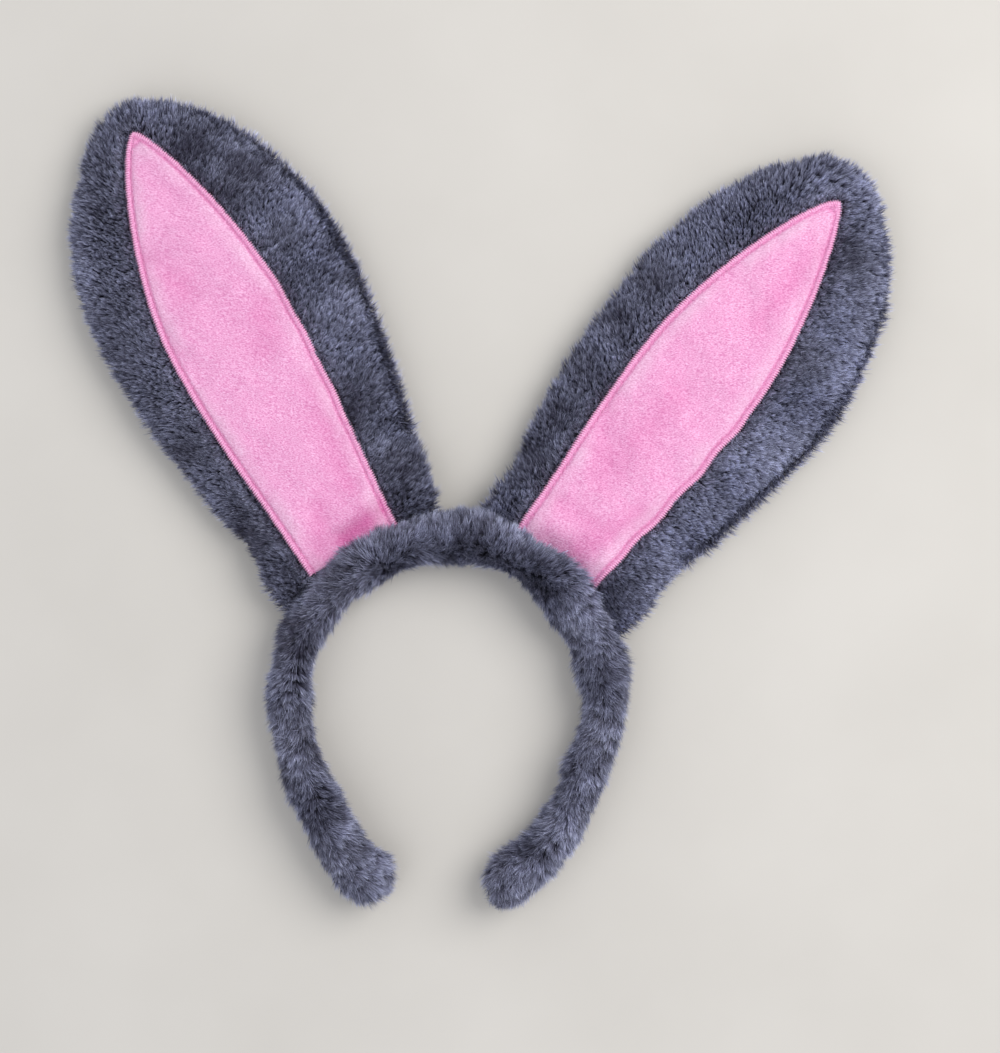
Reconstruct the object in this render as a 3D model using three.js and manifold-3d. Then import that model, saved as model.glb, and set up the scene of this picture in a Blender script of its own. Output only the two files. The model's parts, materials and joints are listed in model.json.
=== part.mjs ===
// An animal ears headband: a C-shaped band covered in long fur, with two long ears sewn to its crown.
//
// The headband lies on its back on a flat surface. +Z is up from the surface, +Y runs along the band's
// middle line towards the ears, and +X is to the right. Lengths are in millimetres and angles in degrees.
// The origin is on the surface, below the middle of the whole headband.
//
// From the inside out, the band is a springy strip in a padding sleeve in a fur cover. The strip is one
// spring that bends all along its arms. Here it is cut in three, so that each arm can turn about a flex
// line below the ears. Each ear is a fur front and a fur back, sewn together round the edge over a
// stiffener and wadding, with a smooth lining sewn into the front.
import * as THREE from 'three';
import { mergeVertices } from 'three/addons/utils/BufferGeometryUtils.js';
import Module from 'manifold-3d';

const wasm = await Module();
wasm.setup();

// Band line, measured along the middle of the spring strip
const bandRadius = 65;
const roundEnd = 100; // from the crown, where each arm starts to straighten
const tailRadius = 125;
const tailTurn = 37;
const flexAngle = 76; // from the crown, where each arm turns

// Sections of the band, from the inside out: heights are along Z, widths are across the band
const stripHeight = 10;
const stripWidth = 2;
const paddingEdge = 0.9; // padding above and below the strip
const paddingSide = 1.9; // padding on each flat side of the strip
const coverWall = 6.5; // cloth and fur
const coverCorner = 7;
const tipWall = 5; // cover past the end of the padding
const stripInset = 3; // padding past the end of the strip
const seamSize = 1.2; // thread bead of every sewn line
const seamDrop = 4.5; // of the cover's closing seam, below the middle of the band's inner side

// Gaps
const clearance = 0.3; // between pieces that touch
const coverFlexGap = 3.2; // in the cover and padding, where an arm turns
const stripFlexGap = 0.6;
const earClearance = 3; // between the band and an ear's base, so that the ear can lift

// Ears: each side's outline runs up from the base corner to the widest place and on to the tip
const earThickness = 20;
const earRound = 6; // of the ear's outer edges
const baseThickness = 5.2;
const baseTaper = 28; // length over which the ear thickens from its base
const furThickness = 6.2;
const backingThickness = 3; // of the front behind its lining
const seamMargin = 7; // where front and back lie on each other, outside the filling
const stiffenerThickness = 1.2;
const liningThickness = 1.6;
const stitchWidth = 2.4; // of the sewn edge round the lining
const ears = [
  {
    name: 'left',
    side: -1,
    attachAngle: 35, // round the band from the crown
    leanAngle: 31.8, // of the ear's own line
    length: 203,
    baseHalfWidth: 39,
    halfWidth: 56,
    widestAt: 111,
    bow: 0, // sideways bend of the ear's middle line
    liningBase: 4, // start of the lining, above the ear's base
    liningEnd: 14, // from the lining's point to the ear's tip
    liningBaseHalfWidth: 21,
    liningHalfWidth: 27.4,
    liningWidestAt: 95,
    liningBaseShift: -2.6, // sideways, of the lining's base, widest place and point
    liningShift: -4.3,
    liningTipShift: -1,
  },
  {
    name: 'right',
    side: 1,
    attachAngle: 35.3,
    leanAngle: 33.5,
    length: 198,
    baseHalfWidth: 40,
    halfWidth: 53.5,
    widestAt: 105,
    bow: 5,
    liningBase: 4,
    liningEnd: 17,
    liningBaseHalfWidth: 20.5,
    liningHalfWidth: 26.3,
    liningWidestAt: 86,
    liningBaseShift: -1.5,
    liningShift: -4.6,
    liningTipShift: 2,
  },
];

// How finely curves are divided
const crownSteps = 21; // odd, so that one flat facet faces the middle of the crown
const armSteps = 12;
const cornerSteps = 3;
const outlineSteps = 7; // on each of the curves of an ear's outline
const baseSteps = 8;

const rad = THREE.MathUtils.degToRad;

function finish(color, roughness, metalness = 0) {
  return () => new THREE.MeshStandardMaterial({ color, roughness, metalness });
}

const finishes = {
  fur: finish('#575a6e', 0.95),
  lining: finish('#eeaad7', 0.85),
  liningThread: finish('#e398ca', 0.8),
  furThread: finish('#33333f', 0.9),
  springPlastic: finish('#2b2c30', 0.5),
  foam: finish('#d9d6cf', 0.95),
  felt: finish('#e8e5de', 0.95),
  wadding: finish('#f3f1ec', 1),
};

// Solids

function solidOf(geometry) {
  geometry.deleteAttribute('normal');
  geometry.deleteAttribute('uv');
  const merged = mergeVertices(geometry, 1e-4);
  const vertProperties = new Float32Array(merged.attributes.position.array);
  const triVerts = new Uint32Array(merged.index.array);
  return new wasm.Manifold(new wasm.Mesh({ numProp: 3, vertProperties, triVerts }));
}

function geometryOf(solid) {
  const mesh = solid.getMesh();
  const geometry = new THREE.BufferGeometry();
  geometry.setAttribute('position', new THREE.BufferAttribute(mesh.vertProperties, 3));
  geometry.setIndex(new THREE.BufferAttribute(mesh.triVerts, 1));
  geometry.computeVertexNormals();
  return geometry;
}

function piece(name, solid, makeMaterial) {
  const mesh = new THREE.Mesh(geometryOf(solid), makeMaterial());
  mesh.name = name;
  return mesh;
}

// Band

const sleeveHeight = stripHeight + 2 * clearance;
const sleeveWidth = stripWidth + 2 * clearance;
const paddingHeight = sleeveHeight + 2 * paddingEdge;
const paddingWidth = sleeveWidth + 2 * paddingSide;
const boreHeight = paddingHeight + 2 * clearance;
const boreWidth = paddingWidth + 2 * clearance;
const coverHeight = boreHeight + 2 * coverWall;
const coverWidth = boreWidth + 2 * coverWall;
const tipRound = coverCorner - 1; // just inside the section's corners
const grooveSize = seamSize + 2 * clearance;

const roundLength = bandRadius * rad(roundEnd);
const bandHalfLength = roundLength + tailRadius * rad(tailTurn);
const flexAt = bandRadius * rad(flexAngle);
const bandMiddle = coverHeight / 2;
const bandOutside = bandRadius + coverWidth / 2;

// The line of the band between two distances from the crown, negative to the left.
class BandLine extends THREE.Curve {
  constructor(from, to) {
    super();
    this.from = from;
    this.to = to;
  }

  getPoint(t, target = new THREE.Vector3()) {
    const along = THREE.MathUtils.lerp(this.from, this.to, t);
    const side = Math.sign(along);
    const inTail = Math.max(Math.abs(along) - roundLength, 0);
    const onRound = Math.min(Math.abs(along), roundLength);
    const radius = inTail > 0 ? tailRadius : bandRadius;
    const turned = onRound / bandRadius + inTail / tailRadius;
    const offset = bandRadius - radius;
    const x = offset * Math.sin(rad(roundEnd)) + radius * Math.sin(turned);
    const y = offset * Math.cos(rad(roundEnd)) + radius * Math.cos(turned);
    return target.set(side * x, y, bandMiddle);
  }
}

// A rectangle with rounded corners. Its X runs down through the band and its Y outwards across it.
function traceSection(path, height, width, corner, groove) {
  const x = height / 2;
  const y = width / 2;
  path.moveTo(corner - x, -y);
  if (groove) {
    path.lineTo(groove.at - groove.size / 2, -y);
    path.lineTo(groove.at - groove.size / 2, groove.size - y);
    path.lineTo(groove.at + groove.size / 2, groove.size - y);
    path.lineTo(groove.at + groove.size / 2, -y);
  }
  path.lineTo(x - corner, -y);
  path.absarc(x - corner, corner - y, corner, -Math.PI / 2, 0);
  path.lineTo(x, y - corner);
  path.absarc(x - corner, y - corner, corner, 0, Math.PI / 2);
  path.lineTo(corner - x, y);
  path.absarc(corner - x, y - corner, corner, Math.PI / 2, Math.PI);
  path.lineTo(-x, corner - y);
  path.absarc(corner - x, corner - y, corner, Math.PI, Math.PI * 1.5);
  return path;
}

function boxSection(height, width) {
  const points = [
    [-1, -1],
    [1, -1],
    [1, 1],
    [-1, 1],
  ].map(([x, y]) => new THREE.Vector2((x * height) / 2, (y * width) / 2));
  return new THREE.Shape(points);
}

function alongBand(shape, from, to, steps) {
  const extrudePath = new BandLine(from, to);
  return solidOf(new THREE.ExtrudeGeometry(shape, { steps, curveSegments: cornerSteps, extrudePath }));
}

const fullSection = () => traceSection(new THREE.Shape(), coverHeight, coverWidth, coverCorner);
const grooved = () =>
  traceSection(new THREE.Shape(), coverHeight, coverWidth, coverCorner, { at: seamDrop, size: grooveSize });

// The three stretches of the band. An arm's tip end is its closed end.
const stretches = [
  { name: 'left', from: -bandHalfLength, to: -flexAt, steps: armSteps, tip: -1 },
  { name: 'crown', from: -flexAt, to: flexAt, steps: crownSteps, tip: 0 },
  { name: 'right', from: flexAt, to: bandHalfLength, steps: armSteps, tip: 1 },
];

// The stretch shortened by a gap at each flex line and by an inset at its tip.
function ends(stretch, gap, inset) {
  return [
    stretch.from + (stretch.tip < 0 ? inset : gap / 2),
    stretch.to - (stretch.tip > 0 ? inset : gap / 2),
  ];
}

// The rounded end of the cover: a block of the cover's section with its edges rounded, turned to the band.
function tipBlock(stretch) {
  const at = stretch.tip < 0 ? 0 : 1;
  const line = new BandLine(stretch.from, stretch.to);
  const centre = line.getPoint(at);
  const outward = line.getTangent(at).multiplyScalar(stretch.tip);
  const down = new THREE.Vector3(0, 0, -1);
  const geometry = new THREE.ExtrudeGeometry(fullSection(), {
    depth: tipRound,
    curveSegments: cornerSteps,
    bevelThickness: tipRound,
    bevelSize: tipRound,
    bevelOffset: -tipRound,
    bevelSegments: 2,
  });
  geometry.translate(0, 0, -tipRound);
  const turn = new THREE.Matrix4().makeBasis(down, outward.clone().cross(down), outward);
  geometry.applyMatrix4(turn.setPosition(centre));
  return solidOf(geometry);
}

function cover(stretch) {
  const [from, to] = ends(stretch, coverFlexGap, tipRound);
  const past = coverWidth; // the bore runs out through the open ends
  const boreFrom = stretch.tip < 0 ? stretch.from + tipWall : from - past;
  const boreTo = stretch.tip > 0 ? stretch.to - tipWall : to + past;
  const bore = alongBand(boxSection(boreHeight, boreWidth), boreFrom, boreTo, stretch.steps + 2);
  const body = alongBand(grooved(), from, to, stretch.steps);
  const outside = stretch.tip ? body.add(tipBlock(stretch)) : body;
  return outside.subtract(bore);
}

function padding(stretch) {
  const [from, to] = ends(stretch, coverFlexGap, tipWall + clearance);
  const section = boxSection(paddingHeight, paddingWidth);
  section.holes.push(new THREE.Path(boxSection(sleeveHeight, sleeveWidth).getPoints()));
  return alongBand(section, from, to, stretch.steps);
}

function strip(stretch) {
  const [from, to] = ends(stretch, stripFlexGap, tipWall + clearance + stripInset);
  return alongBand(boxSection(stripHeight, stripWidth), from, to, stretch.steps);
}

// A six-sided thread bead, whose middle is set down and out from the band's middle.
function bead(down, out) {
  const points = [0, 60, 120, 180, 240, 300].map((angle) => {
    const x = down + (seamSize / 2) * Math.cos(rad(angle));
    const y = out + (seamSize / 2) * Math.sin(rad(angle));
    return new THREE.Vector2(x, y);
  });
  return new THREE.Shape(points);
}

function closingSeam(stretch) {
  const [from, to] = ends(stretch, coverFlexGap, 2 * tipRound + clearance);
  const out = clearance + seamSize / 2 - coverWidth / 2;
  return alongBand(bead(seamDrop, out), from, to, stretch.steps);
}

// Ears. An ear's own X runs across it, its Y from its base to its tip, and its Z up from the surface.

const hingeHeight = bandMiddle;
const baseRadius = bandOutside + earClearance;

// Where the ear's base follows the band: a circle about the band's middle, in the ear's own frame.
function bandCentreFrom(ear) {
  const turned = rad(ear.side * (ear.attachAngle - ear.leanAngle));
  return new THREE.Vector2(-baseRadius * Math.sin(turned), -baseRadius * Math.cos(turned));
}

function baseHeight(ear, x) {
  const centre = bandCentreFrom(ear);
  return centre.y + Math.sqrt(baseRadius ** 2 - (x - centre.x) ** 2);
}

// One side of a leaf shape as two curves: base corner to widest place, and on to the tip.
function sideCurve(base, widest, tip, roundness) {
  const rise = widest.y - base.y;
  const fall = tip.y - widest.y;
  const lower = new THREE.CubicBezierCurve(
    base,
    new THREE.Vector2(base.x + (widest.x - base.x) * 0.24, base.y + rise * 0.32),
    new THREE.Vector2(widest.x, widest.y - rise * 0.4),
    widest,
  );
  const upper = new THREE.CubicBezierCurve(
    widest,
    new THREE.Vector2(widest.x, widest.y + fall * 0.45),
    new THREE.Vector2(tip.x + (widest.x - tip.x) * roundness, tip.y),
    tip,
  );
  return [...lower.getPoints(outlineSteps), ...upper.getPoints(outlineSteps).slice(1)];
}

function bowed(ear, point) {
  const along = THREE.MathUtils.clamp(point.y / ear.length, 0, 1);
  return new THREE.Vector2(point.x + ear.side * ear.bow * Math.sin(Math.PI * along), point.y);
}

// A closed leaf, counterclockwise from its right base corner, without a repeated last point. Its shifts
// move its base, widest place and tip sideways.
function leaf(ear, { shifts, baseHalf, half, baseY, widestAt, tipY, roundness }, base) {
  const [baseShift, shift, tipShift] = shifts;
  const side = (sign) =>
    sideCurve(
      new THREE.Vector2(baseShift + sign * baseHalf, baseY(baseShift + sign * baseHalf)),
      new THREE.Vector2(shift + sign * half, widestAt),
      new THREE.Vector2(tipShift, tipY),
      roundness,
    ).map((point) => bowed(ear, point));
  const left = side(-1).slice(0, -1).reverse();
  return [...side(1), ...left, ...base];
}

function earOutline(ear) {
  const base = [];
  for (let step = 1; step < baseSteps; step++) {
    const x = ear.baseHalfWidth * ((2 * step) / baseSteps - 1);
    base.push(new THREE.Vector2(x, baseHeight(ear, x)));
  }
  const sizes = {
    shifts: [0, 0, 0],
    baseHalf: ear.baseHalfWidth,
    half: ear.halfWidth,
    baseY: (x) => baseHeight(ear, x),
    widestAt: ear.widestAt,
    tipY: ear.length,
    roundness: 0.52,
  };
  return leaf(ear, sizes, base);
}

function liningOutline(ear) {
  const sizes = {
    shifts: [ear.liningBaseShift, ear.liningShift, ear.liningTipShift],
    baseHalf: ear.liningBaseHalfWidth,
    half: ear.liningHalfWidth,
    baseY: () => ear.liningBase,
    widestAt: ear.liningWidestAt,
    tipY: ear.length - ear.liningEnd,
    roundness: 0.22,
  };
  return leaf(ear, sizes, []);
}

// The outline moved inwards by the same distance everywhere: each corner moves along its bisector.
function inset(points, distance) {
  const count = points.length;
  return points.map((point, i) => {
    const before = point.clone().sub(points[(i + count - 1) % count]).normalize();
    const after = points[(i + 1) % count].clone().sub(point).normalize();
    const inward = new THREE.Vector2(-before.y - after.y, before.x + after.x).normalize();
    const cosine = inward.x * -before.y + inward.y * before.x;
    return point.clone().addScaledVector(inward, distance / cosine);
  });
}

function slab(points, bottom, top) {
  const geometry = new THREE.ExtrudeGeometry(new THREE.Shape(points), {
    depth: top - bottom,
    bevelEnabled: false,
  });
  return solidOf(geometry.translate(0, 0, bottom));
}

// A side view, as pairs of Y and Z, made a solid across the whole ear.
function acrossEar(ear, points) {
  const width = 4 * ear.halfWidth;
  const shape = new THREE.Shape(points.map(([y, z]) => new THREE.Vector2(y, z)));
  const geometry = new THREE.ExtrudeGeometry(shape, { depth: width, bevelEnabled: false });
  geometry.translate(0, 0, -width / 2);
  const turn = new THREE.Matrix4().makeBasis(
    new THREE.Vector3(0, 1, 0),
    new THREE.Vector3(0, 0, 1),
    new THREE.Vector3(1, 0, 0),
  );
  return solidOf(geometry.applyMatrix4(turn));
}

// The front of the ear seen from the side, lowered by a depth. It rises from the thin base.
function frontLine(ear, depth) {
  const atBase = hingeHeight + baseThickness / 2 - depth;
  return [
    [2 * ear.length, earThickness - depth],
    [baseTaper, earThickness - depth],
    [0, atBase],
    [-ear.length, atBase],
  ];
}

// The whole side view: thin at the base, then full thickness.
function sideView(ear) {
  const atBase = hingeHeight - baseThickness / 2;
  const backLine = [
    [-ear.length, atBase],
    [0, atBase],
    [baseTaper, 0],
    [2 * ear.length, 0],
  ];
  return acrossEar(ear, [...backLine, ...frontLine(ear, 0)]);
}

function belowFront(ear, depth) {
  const low = -earThickness;
  return acrossEar(ear, [[-ear.length, low], [2 * ear.length, low], ...frontLine(ear, depth)]);
}

// The part of an outline between two depths below the ear's front. A negative depth stands proud.
function frontLayer(ear, points, deep, shallow) {
  return slab(points, 0, 2 * earThickness)
    .intersect(belowFront(ear, shallow))
    .subtract(belowFront(ear, deep));
}

// The whole outside of an ear, with rounded edges.
function earBody(ear) {
  const geometry = new THREE.ExtrudeGeometry(new THREE.Shape(earOutline(ear)), {
    depth: earThickness - 2 * earRound,
    bevelThickness: earRound,
    bevelSize: earRound,
    bevelOffset: -earRound,
    bevelSegments: 2,
  });
  return solidOf(geometry.translate(0, 0, earRound)).intersect(sideView(ear));
}

// Heights of the layers, from the surface up
const seamPlane = hingeHeight;
const pocketBottom = furThickness;
const recessDepth = liningThickness + clearance;
const pocketTop = earThickness - recessDepth - backingThickness;
const frontInside = Math.max(pocketTop, seamPlane + clearance / 2); // a thin ear's pocket ends at its seam

// The hollow between front and back that holds the stiffener and the wadding, past the thin base.
function pocket(ear, margin, bottom, top) {
  const length = 2 * ear.length;
  const pastBase = new THREE.BoxGeometry(4 * ear.halfWidth, length, 4 * earThickness);
  pastBase.translate(0, length / 2 + baseTaper + margin, 0);
  return slab(inset(earOutline(ear), margin), bottom, top).intersect(solidOf(pastBase));
}

function ring(points, width, bottom, top) {
  return slab(points, bottom, top).subtract(slab(inset(points, width), bottom - 1, top + 1));
}

function seamGroove(ear) {
  const height = seamSize / 2 + clearance;
  return ring(inset(earOutline(ear), -1), 1 + grooveSize, seamPlane - height, seamPlane + height);
}

function halfSpace(ear, bottom, top) {
  const wide = 4 * ear.halfWidth;
  const geometry = new THREE.BoxGeometry(wide, 4 * ear.length, top - bottom);
  return solidOf(geometry.translate(0, 0, (top + bottom) / 2));
}

function backPanel(ear) {
  return earBody(ear)
    .intersect(halfSpace(ear, -1, seamPlane - clearance / 2))
    .subtract(pocket(ear, seamMargin, pocketBottom, seamPlane + 1))
    .subtract(seamGroove(ear));
}

function frontPanel(ear) {
  const recess = frontLayer(ear, inset(liningOutline(ear), -clearance), recessDepth, -earThickness / 2);
  return earBody(ear)
    .intersect(halfSpace(ear, seamPlane + clearance / 2, earThickness + 1))
    .subtract(pocket(ear, seamMargin, seamPlane - 1, pocketTop))
    .subtract(seamGroove(ear))
    .subtract(recess);
}

function stiffener(ear) {
  const bottom = pocketBottom + clearance;
  return pocket(ear, seamMargin + clearance, bottom, bottom + stiffenerThickness);
}

function wadding(ear) {
  const bottom = pocketBottom + 2 * clearance + stiffenerThickness;
  return pocket(ear, seamMargin + clearance, bottom, frontInside - clearance);
}

function lining(ear) {
  return frontLayer(ear, inset(liningOutline(ear), stitchWidth + clearance), liningThickness, 0);
}

function liningEdge(ear) {
  const outline = liningOutline(ear);
  const inside = slab(inset(outline, stitchWidth), -1, 3 * earThickness);
  return frontLayer(ear, outline, liningThickness, -seamSize / 2).subtract(inside);
}

function edgeSeam(ear) {
  return ring(earOutline(ear), seamSize, seamPlane - seamSize / 2, seamPlane + seamSize / 2);
}

// The row of thread that holds an ear on: it follows the band's outer side below the ear's hinge line.
function baseStitching(ear) {
  const middle = ear.side * bandRadius * rad(ear.attachAngle);
  const half = bandRadius * Math.asin(ear.baseHalfWidth / baseRadius) * 0.9;
  const out = coverWidth / 2 + clearance + seamSize / 2;
  return alongBand(bead(seamSize + 2 * clearance, out), middle - half, middle + half, baseSteps);
}

// Assembly

const headband = new THREE.Group();
const lying = new THREE.Group();
headband.add(lying);

for (const stretch of stretches) {
  lying.add(
    piece(`cover_${stretch.name}`, cover(stretch), finishes.fur),
    piece(`padding_${stretch.name}`, padding(stretch), finishes.foam),
    piece(`spring_strip_${stretch.name}`, strip(stretch), finishes.springPlastic),
    piece(`closing_seam_${stretch.name}`, closingSeam(stretch), finishes.furThread),
  );
}

for (const ear of ears) {
  const attach = rad(ear.side * ear.attachAngle);
  const group = new THREE.Group();
  group.position.set(baseRadius * Math.sin(attach), baseRadius * Math.cos(attach), 0);
  group.rotation.z = -rad(ear.side * ear.leanAngle);
  group.add(
    piece(`${ear.name}_ear_back`, backPanel(ear), finishes.fur),
    piece(`${ear.name}_ear_stiffener`, stiffener(ear), finishes.felt),
    piece(`${ear.name}_ear_wadding`, wadding(ear), finishes.wadding),
    piece(`${ear.name}_ear_front`, frontPanel(ear), finishes.fur),
    piece(`${ear.name}_ear_lining`, lining(ear), finishes.lining),
    piece(`${ear.name}_ear_lining_edge`, liningEdge(ear), finishes.liningThread),
    piece(`${ear.name}_ear_edge_seam`, edgeSeam(ear), finishes.furThread),
  );
  lying.add(group, piece(`${ear.name}_ear_base_stitching`, baseStitching(ear), finishes.furThread));
}

lying.updateMatrixWorld(true);
const box = new THREE.Box3().setFromObject(lying, true);
const middle = box.getCenter(new THREE.Vector3());
lying.position.set(-middle.x, -middle.y, -box.min.z);

export default headband;
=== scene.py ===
# %% [markdown]
# # A plush animal ears headband
#
# A C-shaped band in long slate-coloured fur carries two rabbit ears. Each ear is a stuffed cushion with
# fur on its front and back and a smooth pink lining sewn into its front. The hard frame comes from the
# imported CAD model. Everything soft is made here, in metres, in the frame's own place.

# %% Load the frame
import json
import math

import bmesh
import bpy
import numpy as np
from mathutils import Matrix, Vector
from mathutils.bvhtree import BVHTree
from mathutils.kdtree import KDTree


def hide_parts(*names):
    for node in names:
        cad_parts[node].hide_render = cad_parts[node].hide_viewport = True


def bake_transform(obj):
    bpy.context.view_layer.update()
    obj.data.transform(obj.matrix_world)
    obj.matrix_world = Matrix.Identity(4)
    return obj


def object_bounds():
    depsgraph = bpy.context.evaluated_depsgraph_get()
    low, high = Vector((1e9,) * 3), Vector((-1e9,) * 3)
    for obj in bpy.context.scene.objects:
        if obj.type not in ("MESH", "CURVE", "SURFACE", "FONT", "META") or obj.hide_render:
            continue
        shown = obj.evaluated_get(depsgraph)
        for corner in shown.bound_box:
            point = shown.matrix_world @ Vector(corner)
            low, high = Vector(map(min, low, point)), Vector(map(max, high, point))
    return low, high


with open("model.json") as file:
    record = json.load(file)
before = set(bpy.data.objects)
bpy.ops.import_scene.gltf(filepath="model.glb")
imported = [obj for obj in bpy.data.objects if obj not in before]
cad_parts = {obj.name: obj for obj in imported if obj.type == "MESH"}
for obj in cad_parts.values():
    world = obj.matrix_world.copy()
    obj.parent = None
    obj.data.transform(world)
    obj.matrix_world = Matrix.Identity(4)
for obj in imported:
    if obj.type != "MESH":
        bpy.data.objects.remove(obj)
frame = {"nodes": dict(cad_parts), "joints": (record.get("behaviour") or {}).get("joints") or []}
cad_box = [list(corner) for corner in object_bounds()]
MM = 0.001
JOINTS = {joint["name"]: joint for joint in frame["joints"]}
print("CAD box:", cad_box, "joints:", sorted(JOINTS))

# %% [markdown]
# ## Camera, light and table
#
# A flat lay is seen from straight above, so the camera looks down -Z. A long lens from a metre away keeps
# the ears free of perspective. One wide lamp to the right makes the soft shadows on the left. A weaker
# lamp and a pale sky fill them.

# %% Camera, light and table
LENS = 85.0  # mm
SENSOR = 36.0  # mm
VIEW_HEIGHT = 435 * MM  # of the table that the picture shows
FOCUS_HEIGHT = 14 * MM  # above the table, where the picture is that high
VIEW_SHIFT = (15.35 * MM, -4.54 * MM)  # from the object's middle to the picture's
ROLL = math.radians(3.5)
distance = LENS * VIEW_HEIGHT / SENSOR
middle = (Vector(cad_box[0]) + Vector(cad_box[1])) / 2
camera = bpy.data.objects.new("camera", bpy.data.cameras.new("camera"))
camera.data.lens = LENS
camera.location = (middle.x + VIEW_SHIFT[0], middle.y + VIEW_SHIFT[1], FOCUS_HEIGHT + distance)
camera.rotation_euler = (0, 0, ROLL)
bpy.context.scene.collection.objects.link(camera)
bpy.context.scene.camera = camera
bpy.context.scene.view_settings.view_transform = "Standard"


def lamp(name, place, watts, colour):
    """A round lamp, 1.2 m wide, that faces the world's origin."""
    data = bpy.data.lights.new(name, "AREA")
    data.shape = "DISK"
    data.size = 1.2
    data.energy = watts
    data.color = colour
    made = bpy.data.objects.new(name, data)
    made.location = place
    made.rotation_euler = (-Vector(place)).to_track_quat("-Z", "Y").to_euler()
    bpy.context.scene.collection.objects.link(made)


DAYLIGHT = (0.93, 0.95, 1.0)
lamp("window", (0.85, 0.45, 1.15), 15.0, (1.0, 0.985, 0.96))
lamp("fill", (-0.7, -0.5, 1.3), 3.0, DAYLIGHT)
sky = bpy.data.worlds.new("sky")
bpy.context.scene.world = sky
sky.use_nodes = True
glow = sky.node_tree.nodes["Background"].inputs
glow["Color"].default_value = (*DAYLIGHT, 1)
glow["Strength"].default_value = 0.72
print("camera", round(distance + FOCUS_HEIGHT, 3), "m above the table")

# %% [markdown]
# ## Helpers for meshes and materials
#
# A mesh is made from whole arrays of points and faces. A material is a small tree of nodes, so a helper
# that adds a node, sets its sockets and links it keeps each finish short.


# %% Mesh helpers
def mesh_piece(name, points, faces, smooth=True):
    """A mesh object from an array of points and an array of faces with the same number of corners. The name and
    the number of faces are printed."""
    faces = np.asarray(faces, np.int32)
    data = bpy.data.meshes.new(name)
    data.vertices.add(len(points))
    data.vertices.foreach_set("co", np.asarray(points, np.float32).ravel())
    data.loops.add(faces.size)
    data.loops.foreach_set("vertex_index", faces.ravel())
    data.polygons.add(len(faces))
    data.polygons.foreach_set("loop_start", np.arange(len(faces), dtype=np.int32) * faces.shape[1])
    data.polygons.foreach_set("use_smooth", np.full(len(faces), smooth))
    data.update(calc_edges=True)
    data.validate()
    made = bpy.data.objects.new(name, data)
    bpy.context.scene.collection.objects.link(made)
    print(name, len(faces), "faces")
    return made


def grid_faces(rows, columns, closed=False):
    """The quads of a grid whose points run along its rows, joined round its columns if closed."""
    row, column = np.meshgrid(np.arange(rows - 1), np.arange(columns - (not closed)), indexing="ij")
    this, after = row * columns + column, row * columns + (column + 1) % columns
    return np.stack([this, after, after + columns, this + columns], -1).reshape(-1, 4)


def apply_modifiers(piece):
    """Replaces the mesh by what its modifiers make of it."""
    graph = bpy.context.evaluated_depsgraph_get()
    made = bpy.data.meshes.new_from_object(piece.evaluated_get(graph), depsgraph=graph)
    piece.modifiers.clear()
    old, piece.data = piece.data, made
    bpy.data.meshes.remove(old)
    return piece


def triples(items, key, kind=np.float32):
    """A value of three numbers from every item of a mesh, as rows."""
    values = np.empty(len(items) * 3, kind)
    items.foreach_get(key, values)
    return values.reshape(-1, 3)


def arrays_of(piece):
    """The points, point normals and triangles of a mesh, as arrays."""
    data = piece.data
    data.calc_loop_triangles()
    points, normals = triples(data.vertices, "co"), triples(data.vertex_normals, "vector")
    return points.astype(float), normals.astype(float), triples(data.loop_triangles, "vertices", np.int32)


def unit(vectors):
    """Each row divided by its length."""
    return vectors / np.maximum(np.linalg.norm(vectors, axis=-1, keepdims=True), 1e-12)


def smoothstep(low, high, value):
    """0 below low, 1 above high, and 3t^2 - 2t^3 between them."""
    t = np.clip((value - low) / (high - low), 0, 1)
    return t * t * (3 - 2 * t)


def ripple(points, size, seed, waves=9):
    """A smooth random number per point: a sum of sine waves in random directions, about size long."""
    random = np.random.default_rng(seed)
    directions = unit(random.normal(size=(waves, points.shape[1])))
    lengths = size * random.uniform(0.7, 1.6, waves)
    phases = random.uniform(0, 2 * np.pi, waves)
    return np.sin(points @ (directions / lengths[:, None]).T * 2 * np.pi + phases).sum(1) / math.sqrt(waves / 2)


# %% Material helpers
def material(name):
    """A new material, a function that adds a node to it and one that dresses its Principled shader. Both take
    the node's inputs as a dictionary. A value that is another node's output is linked to its input."""
    made = bpy.data.materials.new(name)
    made.use_nodes = True
    tree = made.node_tree

    def fill(node, inputs):
        for key, value in inputs.items():
            if isinstance(value, bpy.types.NodeSocket):
                tree.links.new(value, node.inputs[key])
            else:
                node.inputs[key].default_value = value
        return node

    def add(kind, inputs, **settings):
        node = tree.nodes.new("ShaderNode" + kind)
        for key, value in settings.items():
            setattr(node, key, value)
        return fill(node, inputs)

    return made, add, lambda inputs: fill(tree.nodes["Principled BSDF"], inputs)


def place_on(add):
    """The place on the object, which stays put when the object moves."""
    return add("TexCoord", {}).outputs["Object"]


def colours(add, factor, stops):
    """A colour ramp: stops are pairs of a place from 0 to 1 and a colour."""
    node = add("ValToRGB", {"Fac": factor})
    ramp = node.color_ramp
    while len(ramp.elements) < len(stops):
        ramp.elements.new(1.0)
    for element, (place, colour) in zip(ramp.elements, stops):
        element.position = place
        element.color = (*colour, 1)
    return node.outputs["Color"]


def noise(add, where, scale, detail=2.0, roughness=0.5):
    """Smooth random values from 0 to 1, with scale waves to the metre."""
    inputs = {"Vector": where, "Scale": scale, "Detail": detail, "Roughness": roughness}
    return add("TexNoise", inputs).outputs["Fac"]


def mix(add, factor, first, second, blend="MIX"):
    """Two colours mixed by a factor from 0 to 1."""
    return add("Mix", {0: factor, 6: first, 7: second}, data_type="RGBA", blend_type=blend).outputs[2]


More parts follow.
